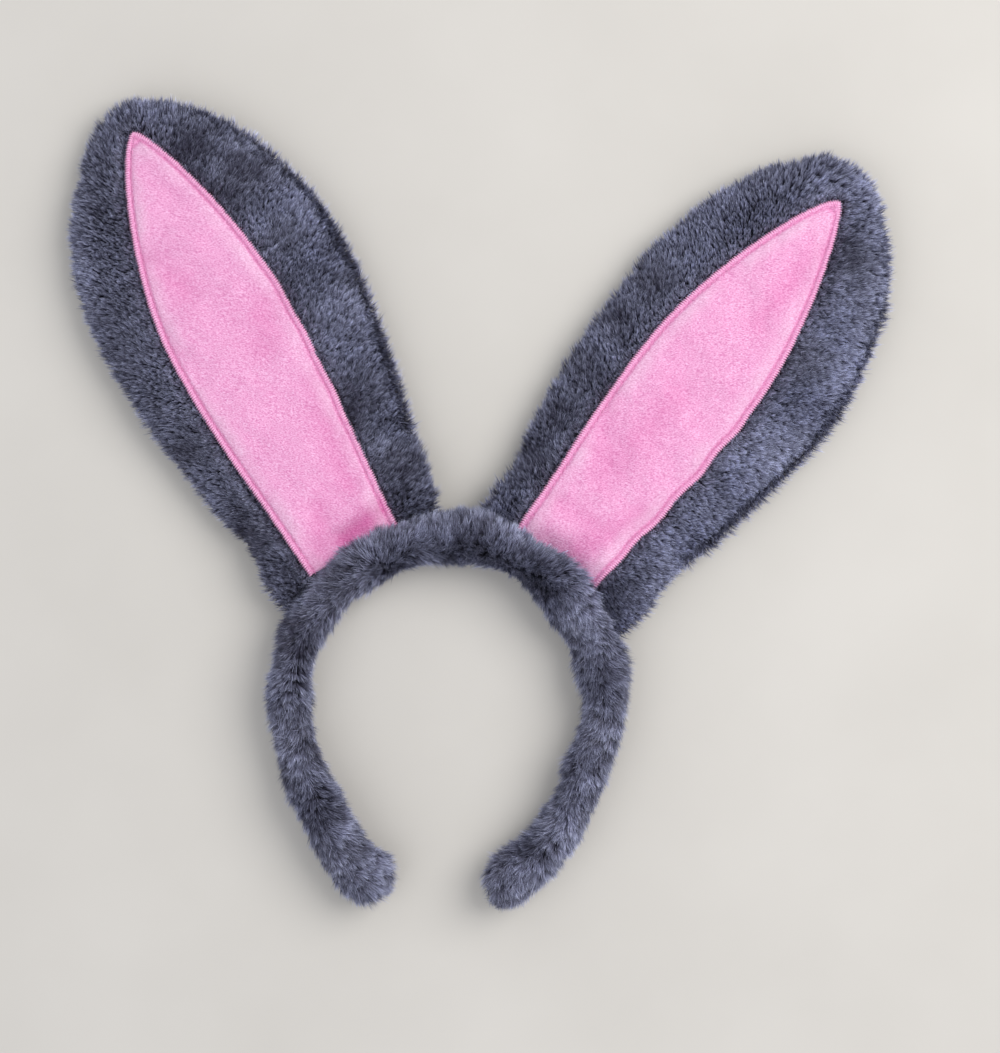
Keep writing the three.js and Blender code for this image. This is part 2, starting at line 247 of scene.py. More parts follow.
def bump(add, height, strength, depth):
    """A normal that follows a height, depth metres from its lowest to its highest."""
    return add("Bump", {"Height": height, "Strength": strength, "Distance": depth}).outputs["Normal"]


def grained(name, tones, scale, rough, bumps=None, detail=2.0, fine=0.5, stretch=(1, 1, 1), **sockets):
    """A plain finish: two tones mixed by noise, which also makes its bumps, as a strength and a depth."""
    made, add, dress = material(name)
    where = add("Mapping", {"Vector": place_on(add), "Scale": stretch}).outputs["Vector"]
    grain = noise(add, where, scale, detail, fine)
    dress({"Base Color": colours(add, grain, list(zip((0.3, 0.7), tones))), "Roughness": rough})
    dress({key.replace("_", " "): value for key, value in sockets.items()})
    if bumps:
        dress({"Normal": bump(add, grain, *bumps)})
    return made


# %% [markdown]
# ## Finishes
#
# Fur isn't one colour. Each fibre is painted nearly black at its root, as the shade where no light reaches,
# slate along its length and lavender at its tip, partly its own paler tone and partly painted highlight, and
# whole tufts are lighter or darker. The strands carry a map of their own: one way along it is the place on
# the strand, and the other is the strand's shade.


# %% Fur finish
# Painted shade at the root, and a tip that is partly painted highlight.
ROOT_SHADE_TO_TIP = [
    (0.0, (0.005, 0.004, 0.008)),
    (0.40, (0.032, 0.029, 0.049)),
    (0.70, (0.186, 0.191, 0.286)),
    (1.0, (0.448, 0.478, 0.645)),
]
DARK_TO_PALE = [(0.0, (0.16, 0.14, 0.18)), (0.5, (1.0, 1.0, 1.0)), (1.0, (2.5, 2.5, 2.45))]


def fur_finish():
    """The colour along a strand, with painted shade at its root, multiplied by the strand's own shade, which carries
    its tuft's tone and the fur's painted shade and light.
    """
    made, add, dress = material("slate plush fur")
    place = add("SeparateXYZ", {"Vector": add("UVMap", {}, uv_map="OFBake").outputs["UV"]})
    along = colours(add, place.outputs["Y"], ROOT_SHADE_TO_TIP)
    shade = colours(add, place.outputs["X"], DARK_TO_PALE)
    dress({
        "Base Color": mix(add, 1.0, along, shade, "MULTIPLY"),
        "Roughness": 0.42,
        "Specular IOR Level": 0.35,
        "Sheen Weight": 0.15,
        "Sheen Roughness": 0.5,
        "Sheen Tint": (0.72, 0.74, 1.0, 1),
    })
    return made


def shade_backing_finish():
    """Knitted cloth, painted nearly black as the shade deep between the strands: uneven tones, and bumps where the
    knit's loops stand.
    """
    made, add, dress = material("dark knitted backing")
    where = place_on(add)
    loops = add("TexVoronoi", {"Vector": where, "Scale": 900.0}).outputs["Distance"]
    # Painted shade: the backing's near-black tones stand for the shade under the fur.
    tone = colours(add, noise(add, where, 140.0), [(0.3, (0.012, 0.011, 0.017)), (0.7, (0.030, 0.030, 0.045))])
    dress({"Base Color": tone, "Roughness": 0.95, "Normal": bump(add, loops, 0.5, 0.3 * MM)})
    return made


# %% [markdown]
# The lining is a velour with a nap about half a millimetre long. It shows as fine streaks across the ear,
# paler where the nap lies towards the light, over slow pink clouds. Folds, the hem and the groove inside it
# are painted a deeper pink, as shade, and a band beside the hem is painted paler, as sheen.


# %% Lining finish
NAP = [(0.34, (0.700, 0.235, 0.470)), (0.50, (0.870, 0.400, 0.640)), (0.66, (0.985, 0.600, 0.840))]
CLOUDS = [(0.34, (0.955, 0.91, 0.94)), (0.62, (1.0, 1.0, 1.0))]
FLECKS = [(0.3, (0.92, 0.86, 0.91)), (0.7, (1.0, 1.0, 1.0))]
# Painted shade: the deeper pink of folds, the groove and the hem.
PINK_SHADE_TINT = (0.86, 0.46, 0.69, 1)
# Painted sheen beside the hem.
SHEEN_PAINT_TINT = (0.10, 0.16, 0.16, 1)


def lining_finish(turn):
    """turn is the direction in which the nap's short streaks run."""
    made, add, dress = material("pink velour")
    where = place_on(add)
    turning = {"Vector": where, "Rotation": (0, 0, turn), "Scale": (1.0, 0.40, 1.0)}
    along_nap = add("Mapping", turning, vector_type="TEXTURE").outputs["Vector"]
    streaks = noise(add, along_nap, 1150.0, 2.0, 0.6)
    fine = noise(add, where, 2600.0, 2.0, 0.6)
    pink = colours(add, streaks, NAP)
    pink = mix(add, 1.0, pink, colours(add, noise(add, where, 75.0, 4.0, 0.6), CLOUDS), "MULTIPLY")
    pink = mix(add, 1.0, pink, colours(add, fine, FLECKS), "MULTIPLY")
    crease, paleness = (add("Attribute", {}, attribute_name=label).outputs["Fac"] for label in ("crease", "paleness"))
    # Painted shade: folds, the groove and the hem are tinted a deeper pink.
    pink = mix(add, crease, pink, mix(add, 1.0, pink, PINK_SHADE_TINT, "MULTIPLY"))
    # Painted sheen: a band beside the hem is screened paler.
    pink = mix(add, paleness, pink, mix(add, 1.0, pink, SHEEN_PAINT_TINT, "SCREEN"))
    height = add("Math", {0: streaks, 1: fine}, operation="ADD").outputs["Value"]
    dress({
        "Base Color": pink,
        "Roughness": 0.85,
        "Specular IOR Level": 0.2,
        "Sheen Weight": 0.4,
        "Sheen Roughness": 0.35,
        "Sheen Tint": (0.95, 0.86, 1.0, 1),
        "Normal": bump(add, height, 0.7, 0.35 * MM),
    })
    return made


def thread_finish(name, dark, light):
    """Twisted thread, with a little sheen."""
    return grained(name, (dark, light), 1500.0, 0.7, (0.4, 0.1 * MM), Sheen_Weight=0.2)


FUR = fur_finish()
SHADE_BACKING = shade_backing_finish()
PINK_THREAD = thread_finish("pink overlock thread", (0.870, 0.335, 0.600), (1.0, 0.600, 0.835))
GROOVE_THREAD = thread_finish("deep pink thread", (0.70, 0.22, 0.45), (0.86, 0.36, 0.62))
DARK_THREAD = thread_finish("dark thread", (0.012, 0.012, 0.018), (0.04, 0.04, 0.06))


# %% [markdown]
# The table is only a plain pale surface. A faint grain keeps it from looking like empty space.


# %% Table
TABLE_HALF = 6.0
corners = [(x * TABLE_HALF, y * TABLE_HALF, 0) for x, y in ((-1, -1), (1, -1), (1, 1), (-1, 1))]
table = mesh_piece("table", corners, [(0, 1, 2, 3)], smooth=False)
TABLE_TONES = (0.585, 0.560, 0.520), (0.625, 0.600, 0.560)
table.data.materials.append(grained("pale table", TABLE_TONES, 9.0, 0.9, detail=4.0, Specular_IOR_Level=0.1))

# %% [markdown]
# ## The line of the band
#
# The two flex hinges lie on the band's middle line, so they give its radius and its centre. Past 100
# degrees from the crown each arm straightens into a slower curve and ends at its tip.

# %% Band line
FLEX_ANGLE = math.radians(76)
ROUND_END = math.radians(100)
TAIL_RADIUS = 125 * MM
TAIL_TURN = math.radians(37)
left_flex, right_flex = (np.array(JOINTS[f"{side}_arm_flex"]["pos_m"]) for side in ("left", "right"))
BAND_RADIUS = (right_flex[0] - left_flex[0]) / 2 / math.sin(FLEX_ANGLE)
BAND_CENTRE = np.array([(left_flex[0] + right_flex[0]) / 2, left_flex[1] - BAND_RADIUS * math.cos(FLEX_ANGLE)])
BAND_MIDDLE = left_flex[2]
ROUND_LENGTH = BAND_RADIUS * ROUND_END
BAND_HALF = ROUND_LENGTH + TAIL_RADIUS * TAIL_TURN
SKIN_HALF_WIDTH = 5.4 * MM  # of the band under its fur
SKIN_HALF_HEIGHT = 8.0 * MM


def band_line(along):
    """Place, outward direction and heading at signed distances from the crown. An arc of the band's radius
    is followed by an arc of the tail's radius about the centre that makes the two meet without a kink."""
    side = np.where(along < 0, -1.0, 1.0)
    tail = np.maximum(np.abs(along) - ROUND_LENGTH, 0)
    turned = np.minimum(np.abs(along), ROUND_LENGTH) / BAND_RADIUS + tail / TAIL_RADIUS
    radius = np.where(tail > 0, TAIL_RADIUS, BAND_RADIUS)
    x = (BAND_RADIUS - radius) * math.sin(ROUND_END) + radius * np.sin(turned)
    y = (BAND_RADIUS - radius) * math.cos(ROUND_END) + radius * np.cos(turned)
    zero = np.zeros_like(x)
    place = np.stack([BAND_CENTRE[0] + side * x, BAND_CENTRE[1] + y, zero + BAND_MIDDLE], -1)
    outward = np.stack([side * np.sin(turned), np.cos(turned), zero], -1)
    heading = np.stack([side * np.cos(turned), -np.sin(turned), zero], -1)
    return place, outward, heading


print("band radius", round(BAND_RADIUS * 1000, 2), "mm, half length", round(BAND_HALF * 1000, 1), "mm")

# %% [markdown]
# ## The padded band under its fur
#
# Each half of the band is a padded tube. Its section is an oval, and slow waves make it lumpy, as a hand
# closed cover is. At the tip the oval shrinks along a quarter of an ellipse, so the end is round.


# %% Padded band
TIP_CAP = 7 * MM  # length over which a tip is rounded
INNER_BULGES = [
    (58, 26, 3.8), (-8, 12, 1.2), (-42, 12, 1.4), (-98, 36, -3.9), (-150, 20, -1.0), (-187, 10, 3.0), (187, 11, 4.0),
    (128, 12, 1.4),
]
OUTER_BULGES = [(128, 60, -3.2), (-182, 12, 2.0)]


def stands_out(along, bulges):
    """How far a side of the band stands out, in mm. A bulge is a Gaussian: its place along the band, its reach
    and its height, in mm."""
    return sum(height * np.exp(-(((along / MM - place) / reach) ** 2)) for place, reach, height in bulges)


def band_skin(side, name):
    """A tube from the crown's middle to one tip, on a grid of distance along the band and angle round it.
    A point is the line's place, plus outward times the half width times the angle's cosine, plus up times
    the half height times its sine."""
    rows, columns = 150, 28
    distance_along = np.linspace(0, 1, rows) * BAND_HALF
    angle = np.linspace(0, 2 * np.pi, columns, endpoint=False)
    along, round_it = (grid.ravel() for grid in np.meshgrid(side * distance_along, angle, indexing="ij"))
    place, outward, _ = band_line(along)
    to_tip = BAND_HALF - np.abs(along)
    shrink = np.sqrt(np.clip(1 - np.clip(1 - to_tip / TIP_CAP, 0, 1) ** 2, 0.0004, 1))
    cosine, sine = np.cos(round_it), np.sin(round_it)
    where = np.stack([along / MM, 6 * cosine, 6 * sine], -1)
    lumps = 1 + 0.07 * ripple(where, 34, 11) + 0.03 * ripple(where, 15, 12)
    across = SKIN_HALF_WIDTH * cosine * lumps * shrink
    across = across - np.clip(-cosine, 0, 1) * shrink * stands_out(along, INNER_BULGES) * MM
    across = across + np.clip(cosine, 0, 1) * shrink * stands_out(along, OUTER_BULGES) * MM
    up = SKIN_HALF_HEIGHT * sine * (0.5 + 0.5 * lumps) * shrink
    points = place + outward * across[:, None] + np.array([0, 0, 1]) * up[:, None]
    faces = grid_faces(rows, columns, closed=True)
    faces = faces if side < 0 else faces[:, ::-1]
    made = mesh_piece(name, points, faces)
    made.data.materials.append(SHADE_BACKING)
    return made


def close_ends(piece):
    """Fills the open ends with flat faces and turns every face outwards."""
    work = bmesh.new()
    work.from_mesh(piece.data)
    bmesh.ops.holes_fill(work, edges=[edge for edge in work.edges if edge.is_boundary])
    bmesh.ops.recalc_face_normals(work, faces=work.faces)
    work.to_mesh(piece.data)
    work.free()
    return piece


SIDES = {"left": -1, "right": 1}
band_skins = {name: close_ends(band_skin(side, f"{name}_band_padding")) for name, side in SIDES.items()}

# %% [markdown]
# ## The shape of an ear
#
# An ear is a leaf. Each side is two smooth curves, from the base corner out to the widest place and from
# there to the tip. The skin is the leaf less the height of the fur, and it reaches down behind the
# band's fur, because the ear is sewn to the band below it.

# %% Ear outlines
# Angles are in degrees and sizes in mm. An ear is attached at an angle round the band from the crown, leans from
# the band's own up direction and is bowed sideways. A leaf and a lining have a half width at the base and at the
# widest place, sideways shifts of base, widest place and tip, and a wave of one edge: its size, start and end.
PILE = 3.6 * MM  # how far the fur stands off the skin
BASE_RADIUS = 78 * MM  # of the circle about the band's centre where an ear's solid starts
SEWN_RADIUS = 69.5 * MM  # of the circle where the skin of an ear meets the band
EARS = {
    "left": dict(
        side=-1, attach=35.0, lean=31.8, length=203, bow=0,
        fuller=[(-1, 155, 24, 1.8), (1, 14, 10, 2.0), (-1, 12, 8, 1.0)],
        leaf=dict(
            base=39, half=56, widest=111, tip=203, roundness=0.52,
            shifts=(0, 0, 0), wave=(0, 0, 1), start=None,
        ),
        lining=dict(
            base=21, half=27.4, widest=95, tip=189, roundness=0.22,
            shifts=(-2.6, -4.3, -1), wave=(0.25, 30, 130), start=-7,
        ),
    ),
    "right": dict(
        side=1, attach=35.3, lean=33.5, length=198, bow=5,
        fuller=[(1, 168, 26, 3.0), (-1, 52, 30, 1.2), (1, 60, 22, -1.6)],
        leaf=dict(
            base=40, half=53.5, widest=105, tip=198, roundness=0.52,
            shifts=(0, 0, 0), wave=(0, 0, 1), start=None,
        ),
        lining=dict(
            base=20.5, half=26.3, widest=86, tip=181, roundness=0.22,
            shifts=(-1.5, -4.6, 2), wave=(0.55, 0, 95), start=-7,
        ),
    ),
}
for name, ear in EARS.items():
    ear["origin"] = np.array(JOINTS[f"{name}_ear_lift"]["pos_m"])
    ear["turn"] = -ear["side"] * math.radians(ear["lean"])
    off = ear["side"] * math.radians(ear["attach"] - ear["lean"])
    ear["band_centre"] = -BASE_RADIUS * np.array([math.sin(off), math.cos(off)])
    ear["outward"] = np.append(unit(ear["origin"][:2] - BAND_CENTRE), 0)


def turned(points, angle):
    """The points with x and y turned about the origin."""
    c, s = math.cos(angle), math.sin(angle)
    made = np.array(points, float)
    made[:, 0], made[:, 1] = points[:, 0] * c - points[:, 1] * s, points[:, 0] * s + points[:, 1] * c
    return made


def to_row(ear, points):
    """From the ear's own frame, which keeps heights, to the object's frame."""
    made = turned(points, ear["turn"])
    made[:, :2] += ear["origin"][:2]
    return made


def to_ear(ear, points):
    """From the object's frame to the ear's own."""
    made = np.array(points, float)
    made[:, :2] -= ear["origin"][:2]
    return turned(made, -ear["turn"])


def bezier(corners, count):
    """A cubic curve: each corner weighted by a power of 1-t times a power of t."""
    t = np.linspace(0, 1, count)[:, None]
    weights = [(1 - t) ** 3, 3 * t * (1 - t) ** 2, 3 * t * t * (1 - t), t**3]
    return sum(weight * np.array(corner, float) for weight, corner in zip(weights, corners))


def sewn_height(ear, x, radius):
    """Where the circle of this radius about the band's centre passes, at x in the ear's frame."""
    return ear["band_centre"][1] + np.sqrt(radius**2 - (x - ear["band_centre"][0]) ** 2)


def leaf_side(ear, sizes, sign, count=60):
    """One side of a leaf, base to tip, in metres: two cubic curves, bowed by a half wave of sine."""
    base_shift, shift, tip_shift = sizes["shifts"]
    x0, x1, x2 = base_shift + sign * sizes["base"], shift + sign * sizes["half"], tip_shift
    y0 = sizes["start"]
    if y0 is None:
        y0 = sewn_height(ear, x0 * MM, BASE_RADIUS) / MM
    y1, y2 = sizes["widest"], sizes["tip"]
    lower = [(x0, y0), (x0 + (x1 - x0) * 0.24, y0 + (y1 - y0) * 0.32), (x1, y1 - (y1 - y0) * 0.4), (x1, y1)]
    upper = [(x1, y1), (x1, y1 + (y2 - y1) * 0.45), (x2 + (x1 - x2) * sizes["roundness"], y2), (x2, y2)]
    side = np.vstack([bezier(lower, count), bezier(upper, count)[1:]])
    side[:, 0] += ear["side"] * ear["bow"] * np.sin(np.pi * np.clip(side[:, 1] / ear["length"], 0, 1))
    size, first, last = sizes["wave"]
    window = smoothstep(first, first + 15, side[:, 1]) * (1 - smoothstep(last - 20, last, side[:, 1]))
    side[:, 0] += (sign > 0) * size * np.sin(2 * np.pi * side[:, 1] / 25) * window
    return side * MM


def spread_evenly(line, count):
    """The line resampled at equal steps along its length."""
    steps = np.linalg.norm(np.diff(line, axis=0), axis=1)
    at = np.append(0, np.cumsum(steps))
    wanted = np.linspace(0, at[-1], count)
    return np.stack([np.interp(wanted, at, line[:, axis]) for axis in range(line.shape[1])], -1)


def leaf_loop(ear, sizes, count):
    """Both sides of a leaf as one line, up the right side and down the left."""
    right, left = leaf_side(ear, sizes, 1), leaf_side(ear, sizes, -1)
    return spread_evenly(np.vstack([right, left[::-1][1:]]), count)


def inward_of(line):
    """The directions of a line, and the ones to the left of them, which point into a counterclockwise loop."""
    tangent = unit(np.gradient(line, axis=0))
    return tangent, np.stack([-tangent[:, 1], tangent[:, 0]], -1)


def skin_outline(ear, count):
    """The ear's outline under its fur: both sides moved in by the pile, narrowed by 6% at the base, made fuller
    in places, and closed along the sewn circle."""
    loop = leaf_loop(ear, ear["leaf"], 400)
    loop = loop + PILE * inward_of(loop)[1]
    loop[:, 0] *= 1 - 0.06 * (1 - smoothstep(-8 * MM, 34 * MM, loop[:, 1]))
    for sign, y, reach, out in ear["fuller"]:
        near = np.exp(-(((loop[:, 1] / MM - y) / reach) ** 2)) * smoothstep(0, 15 * MM, sign * loop[:, 0])
        loop[:, 0] += sign * out * MM * near
    x = np.linspace(loop[-1, 0] + 3 * MM, loop[0, 0] - 3 * MM, 30)
    base = np.stack([x, sewn_height(ear, x, SEWN_RADIUS)], -1)
    return spread_evenly(np.vstack([loop, base, loop[:1]]), count + 1)[:-1]


def leaf_span(ear, sizes, y):
    """The leaf's left and right edges at heights y."""
    sides = (leaf_side(ear, sizes, sign) for sign in (-1, 1))
    return tuple(np.interp(y, side[:, 1], side[:, 0]) for side in sides)


print("ear outlines:", {name: len(skin_outline(ear, 180)) for name, ear in EARS.items()})

# %% [markdown]
# ## The stuffed cushion of an ear
#
# Two cloth leaves sewn together and filled make a pillow: thin at its sewn edge, round inside it, with
# small puckers. A quick formula gives the start shape, and a short cloth simulation with air pressure
# inside gives the puckers. The base stays thin, because it is pressed flat and sewn to the band.


# %% Ear cushions
SEWN_HEIGHT = 13  # mm, of the middle layer at the base
LYING_HEIGHT = 9.2  # mm, of the middle layer where the ear lies on the table
THIN_BASE = (-4 * MM, 34 * MM)  # where the cushion thickens, along the ear


def spine_of(ear, y):
    """The x of the ear's middle line at heights y."""
    return ear["side"] * ear["bow"] * MM * np.sin(np.pi * np.clip(y / (ear["length"] * MM), 0, 1))


def middle_height(y):
    """The height of the cushion's middle layer and of the seam round it, which sinks from the sewn base."""
    return SEWN_HEIGHT * MM + (LYING_HEIGHT - SEWN_HEIGHT) * MM * smoothstep(*THIN_BASE, y)


def cushion_start(ear, name):
    """Rings between the outline and a spine. A ring point is the spine point plus a share r of the way to
    the outline, and it lies (1 - r^2.4)^0.55 of the half thickness above or below the middle."""
    count, rings = 180, 14
    outline = skin_outline(ear, count)
    y = np.clip(outline[:, 1], 10 * MM, (ear["length"] - 50) * MM)
    spine = np.stack([spine_of(ear, y), y], -1)
    share = np.sin(np.linspace(1, 0.02, rings) * np.pi / 2)
    flat = spine + (outline - spine) * share[:, None, None]
    grown = smoothstep(*THIN_BASE, flat[..., 1])
    to_tip = smoothstep(0, 60 * MM, ear["length"] * MM - flat[..., 1])
    level = middle_height(flat[..., 1])
    half = (2.4 * MM + 3.6 * MM * grown) * (0.75 + 0.25 * to_tip)
    height = half * (1 - share[:, None] ** 2.4) ** 0.55
    top = np.concatenate([flat, (level + height)[..., None]], -1)
    bottom = np.concatenate([flat, (level - height)[..., None]], -1)[1:]
    points = np.vstack([top.reshape(-1, 3), bottom.reshape(-1, 3)])
    upper = grid_faces(rings, count, closed=True)
    lower = grid_faces(rings, count, closed=True)[:, ::-1] + (rings - 1) * count
    lower = np.where(lower < rings * count, lower - (rings - 1) * count, lower)
    return mesh_piece(name, to_row(ear, points), np.vstack([upper, lower]))


def puffed(piece, voxel, cap, pressure=4.0, frames=20):
    """Remeshes a closed piece, blows it up as cloth, lets no point move further than cap, and smooths it.
    Returned with how far the points moved on average."""
    remesh = piece.modifiers.new("remesh", "REMESH")
    remesh.mode = "VOXEL"
    remesh.voxel_size = voxel
    even = piece.modifiers.new("even", "SMOOTH")
    even.factor, even.iterations = 0.5, 5
    apply_modifiers(piece)
    before = arrays_of(piece)[0]
    moved = 0.0
    cloth = piece.modifiers.new("cloth", "CLOTH")
    cloth.settings.use_pressure = True
    cloth.settings.uniform_pressure_force = pressure
    cloth.settings.effector_weights.gravity = 0
    for step in range(1, frames + 1):
        bpy.context.scene.frame_set(step)
    after = triples(piece.evaluated_get(bpy.context.evaluated_depsgraph_get()).data.vertices, "co")
    piece.modifiers.clear()
    bpy.context.scene.frame_set(1)
    move = after - before
    length = np.linalg.norm(move, axis=1, keepdims=True)
    move *= np.minimum(1, cap / np.maximum(length, 1e-9))
    moved = float(length.mean())
    piece.data.vertices.foreach_set("co", (before + move).astype(np.float32).ravel())
    smooth = piece.modifiers.new("smooth", "SUBSURF")
    smooth.levels = smooth.render_levels = 1
    apply_modifiers(piece)
    return piece, moved


def valley(x, y, start, end, width, depth):
    """A fold: a Gaussian trough along the line between two points, fading past its ends. The points, the
    width and the depth are in mm, and x, y and the result are in metres."""
    a, b = np.array(start) * MM, np.array(end) * MM
    along = b - a
    t = ((x - a[0]) * along[0] + (y - a[1]) * along[1]) / (along @ along)
    off = ((x - a[0]) * along[1] - (y - a[1]) * along[0]) / np.linalg.norm(along)
    past = np.maximum(np.abs(t - 0.5) - 0.5, 0) * np.linalg.norm(along)
    return -depth * MM * np.exp(-((off / (width * MM)) ** 2) - (past / (5 * MM)) ** 2)


# The start, end, width and depth of each fold, in mm in the ear's frame.
FOLDS = {
    "left": [
        ((-3, -1), (19, 4), 4.5, 3.2), ((-16, -2), (-6, 16), 4.0, 1.2), ((9, 18), (16, 62), 6.0, 1.2),
        ((4, 84), (16, 100), 7.0, 1.0), ((-20, 140), (-12, 120), 6.0, 0.9),
    ],
    "right": [
        ((-20, 12), (0, 14), 4.5, 1.0), ((4, 2), (16, 30), 5.0, 1.4), ((-6, 30), (-2, 80), 7.0, 1.0),
        ((6, 120), (8, 160), 4.5, 1.2), ((-24, 60), (-14, 40), 5.0, 0.9),
    ],
}


def fitted(piece, name, ear):
    """The cushion's points, stretched to its cut outline, which the stuffing has pulled in: lengthwise to the
    tip, and then each side from the spine, by the ratio of the outline's width to the cushion's at that
    height. The folds are pressed into its upper face."""
    points = to_ear(ear, arrays_of(piece)[0])
    outline = skin_outline(ear, 700)
    low, top = outline[:, 1].min(), outline[:, 1].max()
    points[:, 1] *= np.where(points[:, 1] > 0, top / points[:, 1].max(), low / points[:, 1].min())
    levels = np.linspace(8 * MM, top - 9 * MM, 40)
    edge = outline[:, 0] - spine_of(ear, outline[:, 1])
    spine = spine_of(ear, points[:, 1])
    for sign in (-1, 1):
        reach = sign * (points[:, 0] - spine)
        order = np.argsort(outline[:, 1])
        order = order[sign * edge[order] > 0]
        wanted = np.interp(levels, outline[order, 1], sign * edge[order])
        actual = np.array([reach[np.abs(points[:, 1] - level) < 4 * MM].max() for level in levels])
        ratio = np.interp(points[:, 1], levels, wanted / actual)
        points[:, 0] = np.where(reach > 0, spine + sign * reach * ratio, points[:, 0])
    upper = smoothstep(8 * MM, 12 * MM, points[:, 2])
    for fold in FOLDS[name]:
        points[:, 2] += upper * valley(points[:, 0], points[:, 1], *fold)
    points[:, 2] = np.maximum(points[:, 2], 1.6 * MM)
    return to_row(ear, points)


for name, ear in EARS.items():
    cushion = cushion_start(ear, f"{name}_ear_cushion")
    cushion, moved = puffed(cushion, voxel=4.5 * MM, cap=3.0 * MM)
    points = fitted(cushion, name, ear)
    cushion.data.vertices.foreach_set("co", points.astype(np.float32).ravel())
    cushion.data.polygons.foreach_set("use_smooth", np.ones(len(cushion.data.polygons), bool))
    cushion.data.update()
    cushion.data.materials.append(SHADE_BACKING)
    ear["cushion"] = cushion
    print(cushion.name, len(cushion.data.polygons), "faces, moved", round(moved * 1000, 2), "mm on average,",
          "from", round(points[:, 2].min() * 1000, 1), "to", round(points[:, 2].max() * 1000, 1), "mm high")

# %% [markdown]
# ## The pink linings
#
# A lining is one layer of velour, cut to a leaf, with its edge overlocked and sewn down. It lies on the
# cushion, so its height comes from rays shot down on the cushion. Its grid has close columns along both
# edges, where a line of stitches pulls it down into a groove, and folds where the ear is gathered at its
# base.

# %% Linings
HEM = 2.6 * MM  # from the lining's edge to its line of stitches
# The columns next to an edge, by their distance from it.
EDGE_STEPS = np.array([0, 0.35, 0.8, 1.3, 1.8, 2.2, 2.5, 2.8, 3.2, 3.8, 4.6]) * MM


def lining_grid(ear, rows=230, inner=26):
    """Rows along the ear and columns across it: a column is a fixed distance from its edge near the edge,
    and a share of what is left in the middle. Near the point every distance shrinks with the width. The
    grid's x and y are returned, and each point's distance from the nearest edge."""
    sizes = ear["lining"]
    share = np.linspace(0, 1, rows)
    y = (sizes["start"] + (sizes["tip"] - sizes["start"]) * (1 - (1 - share) ** 1.25)) * MM
    left, right = leaf_span(ear, sizes, y)
    width = right - left
    squeeze = np.minimum(1, 0.42 * width / EDGE_STEPS[-1])[:, None]
    near = EDGE_STEPS[None, :] * squeeze
    rest = np.linspace(0, 1, inner + 2)[1:-1][None, :]
    across = np.hstack([
        near,
        near[:, -1:] + (width[:, None] - 2 * near[:, -1:]) * rest,
        (width[:, None] - near)[:, ::-1],
    ])
    x = left[:, None] + across
    edge = np.minimum(across, width[:, None] - across)
    to_point = (sizes["tip"] * MM - y)[:, None] * 0.5
    return x, np.broadcast_to(y[:, None], x.shape), np.minimum(edge, to_point)


def heights_on(ear, tree, x, y):
    """The cushion's height under each point, by rays from above. A ray that misses takes its neighbour's."""
    flat = np.stack([x.ravel(), y.ravel(), np.full(x.size, 60 * MM)], -1)
    hits = [tree.ray_cast(Vector(place), Vector((0, 0, -1)))[0] for place in to_row(ear, flat)]
    height = np.array([hit.z if hit else np.nan for hit in hits])
    known = ~np.isnan(height)
    height[~known] = np.interp(np.flatnonzero(~known), np.flatnonzero(known), height[known])
    return height.reshape(x.shape)


def smooth_grid(values, times):
    """Each value replaced by a mean with its neighbours, several times over."""
    for _ in range(times):
        padded = np.pad(values, 1, mode="edge")
        values = (padded[:-2, 1:-1] + padded[2:, 1:-1] + padded[1:-1, :-2] + padded[1:-1, 2:] + 4 * values) / 8
    return values


NAP_TURN = {"left": math.radians(-10), "right": math.radians(6)}
CLOTH = 0.7 * MM  # the lining's thickness
LINING_RISE = 2.6 * MM  # above the cushion, so that the fur beside it doesn't cover it
GROOVE_DEPTH, HEM_RISE = 0.55 * MM, 0.30 * MM


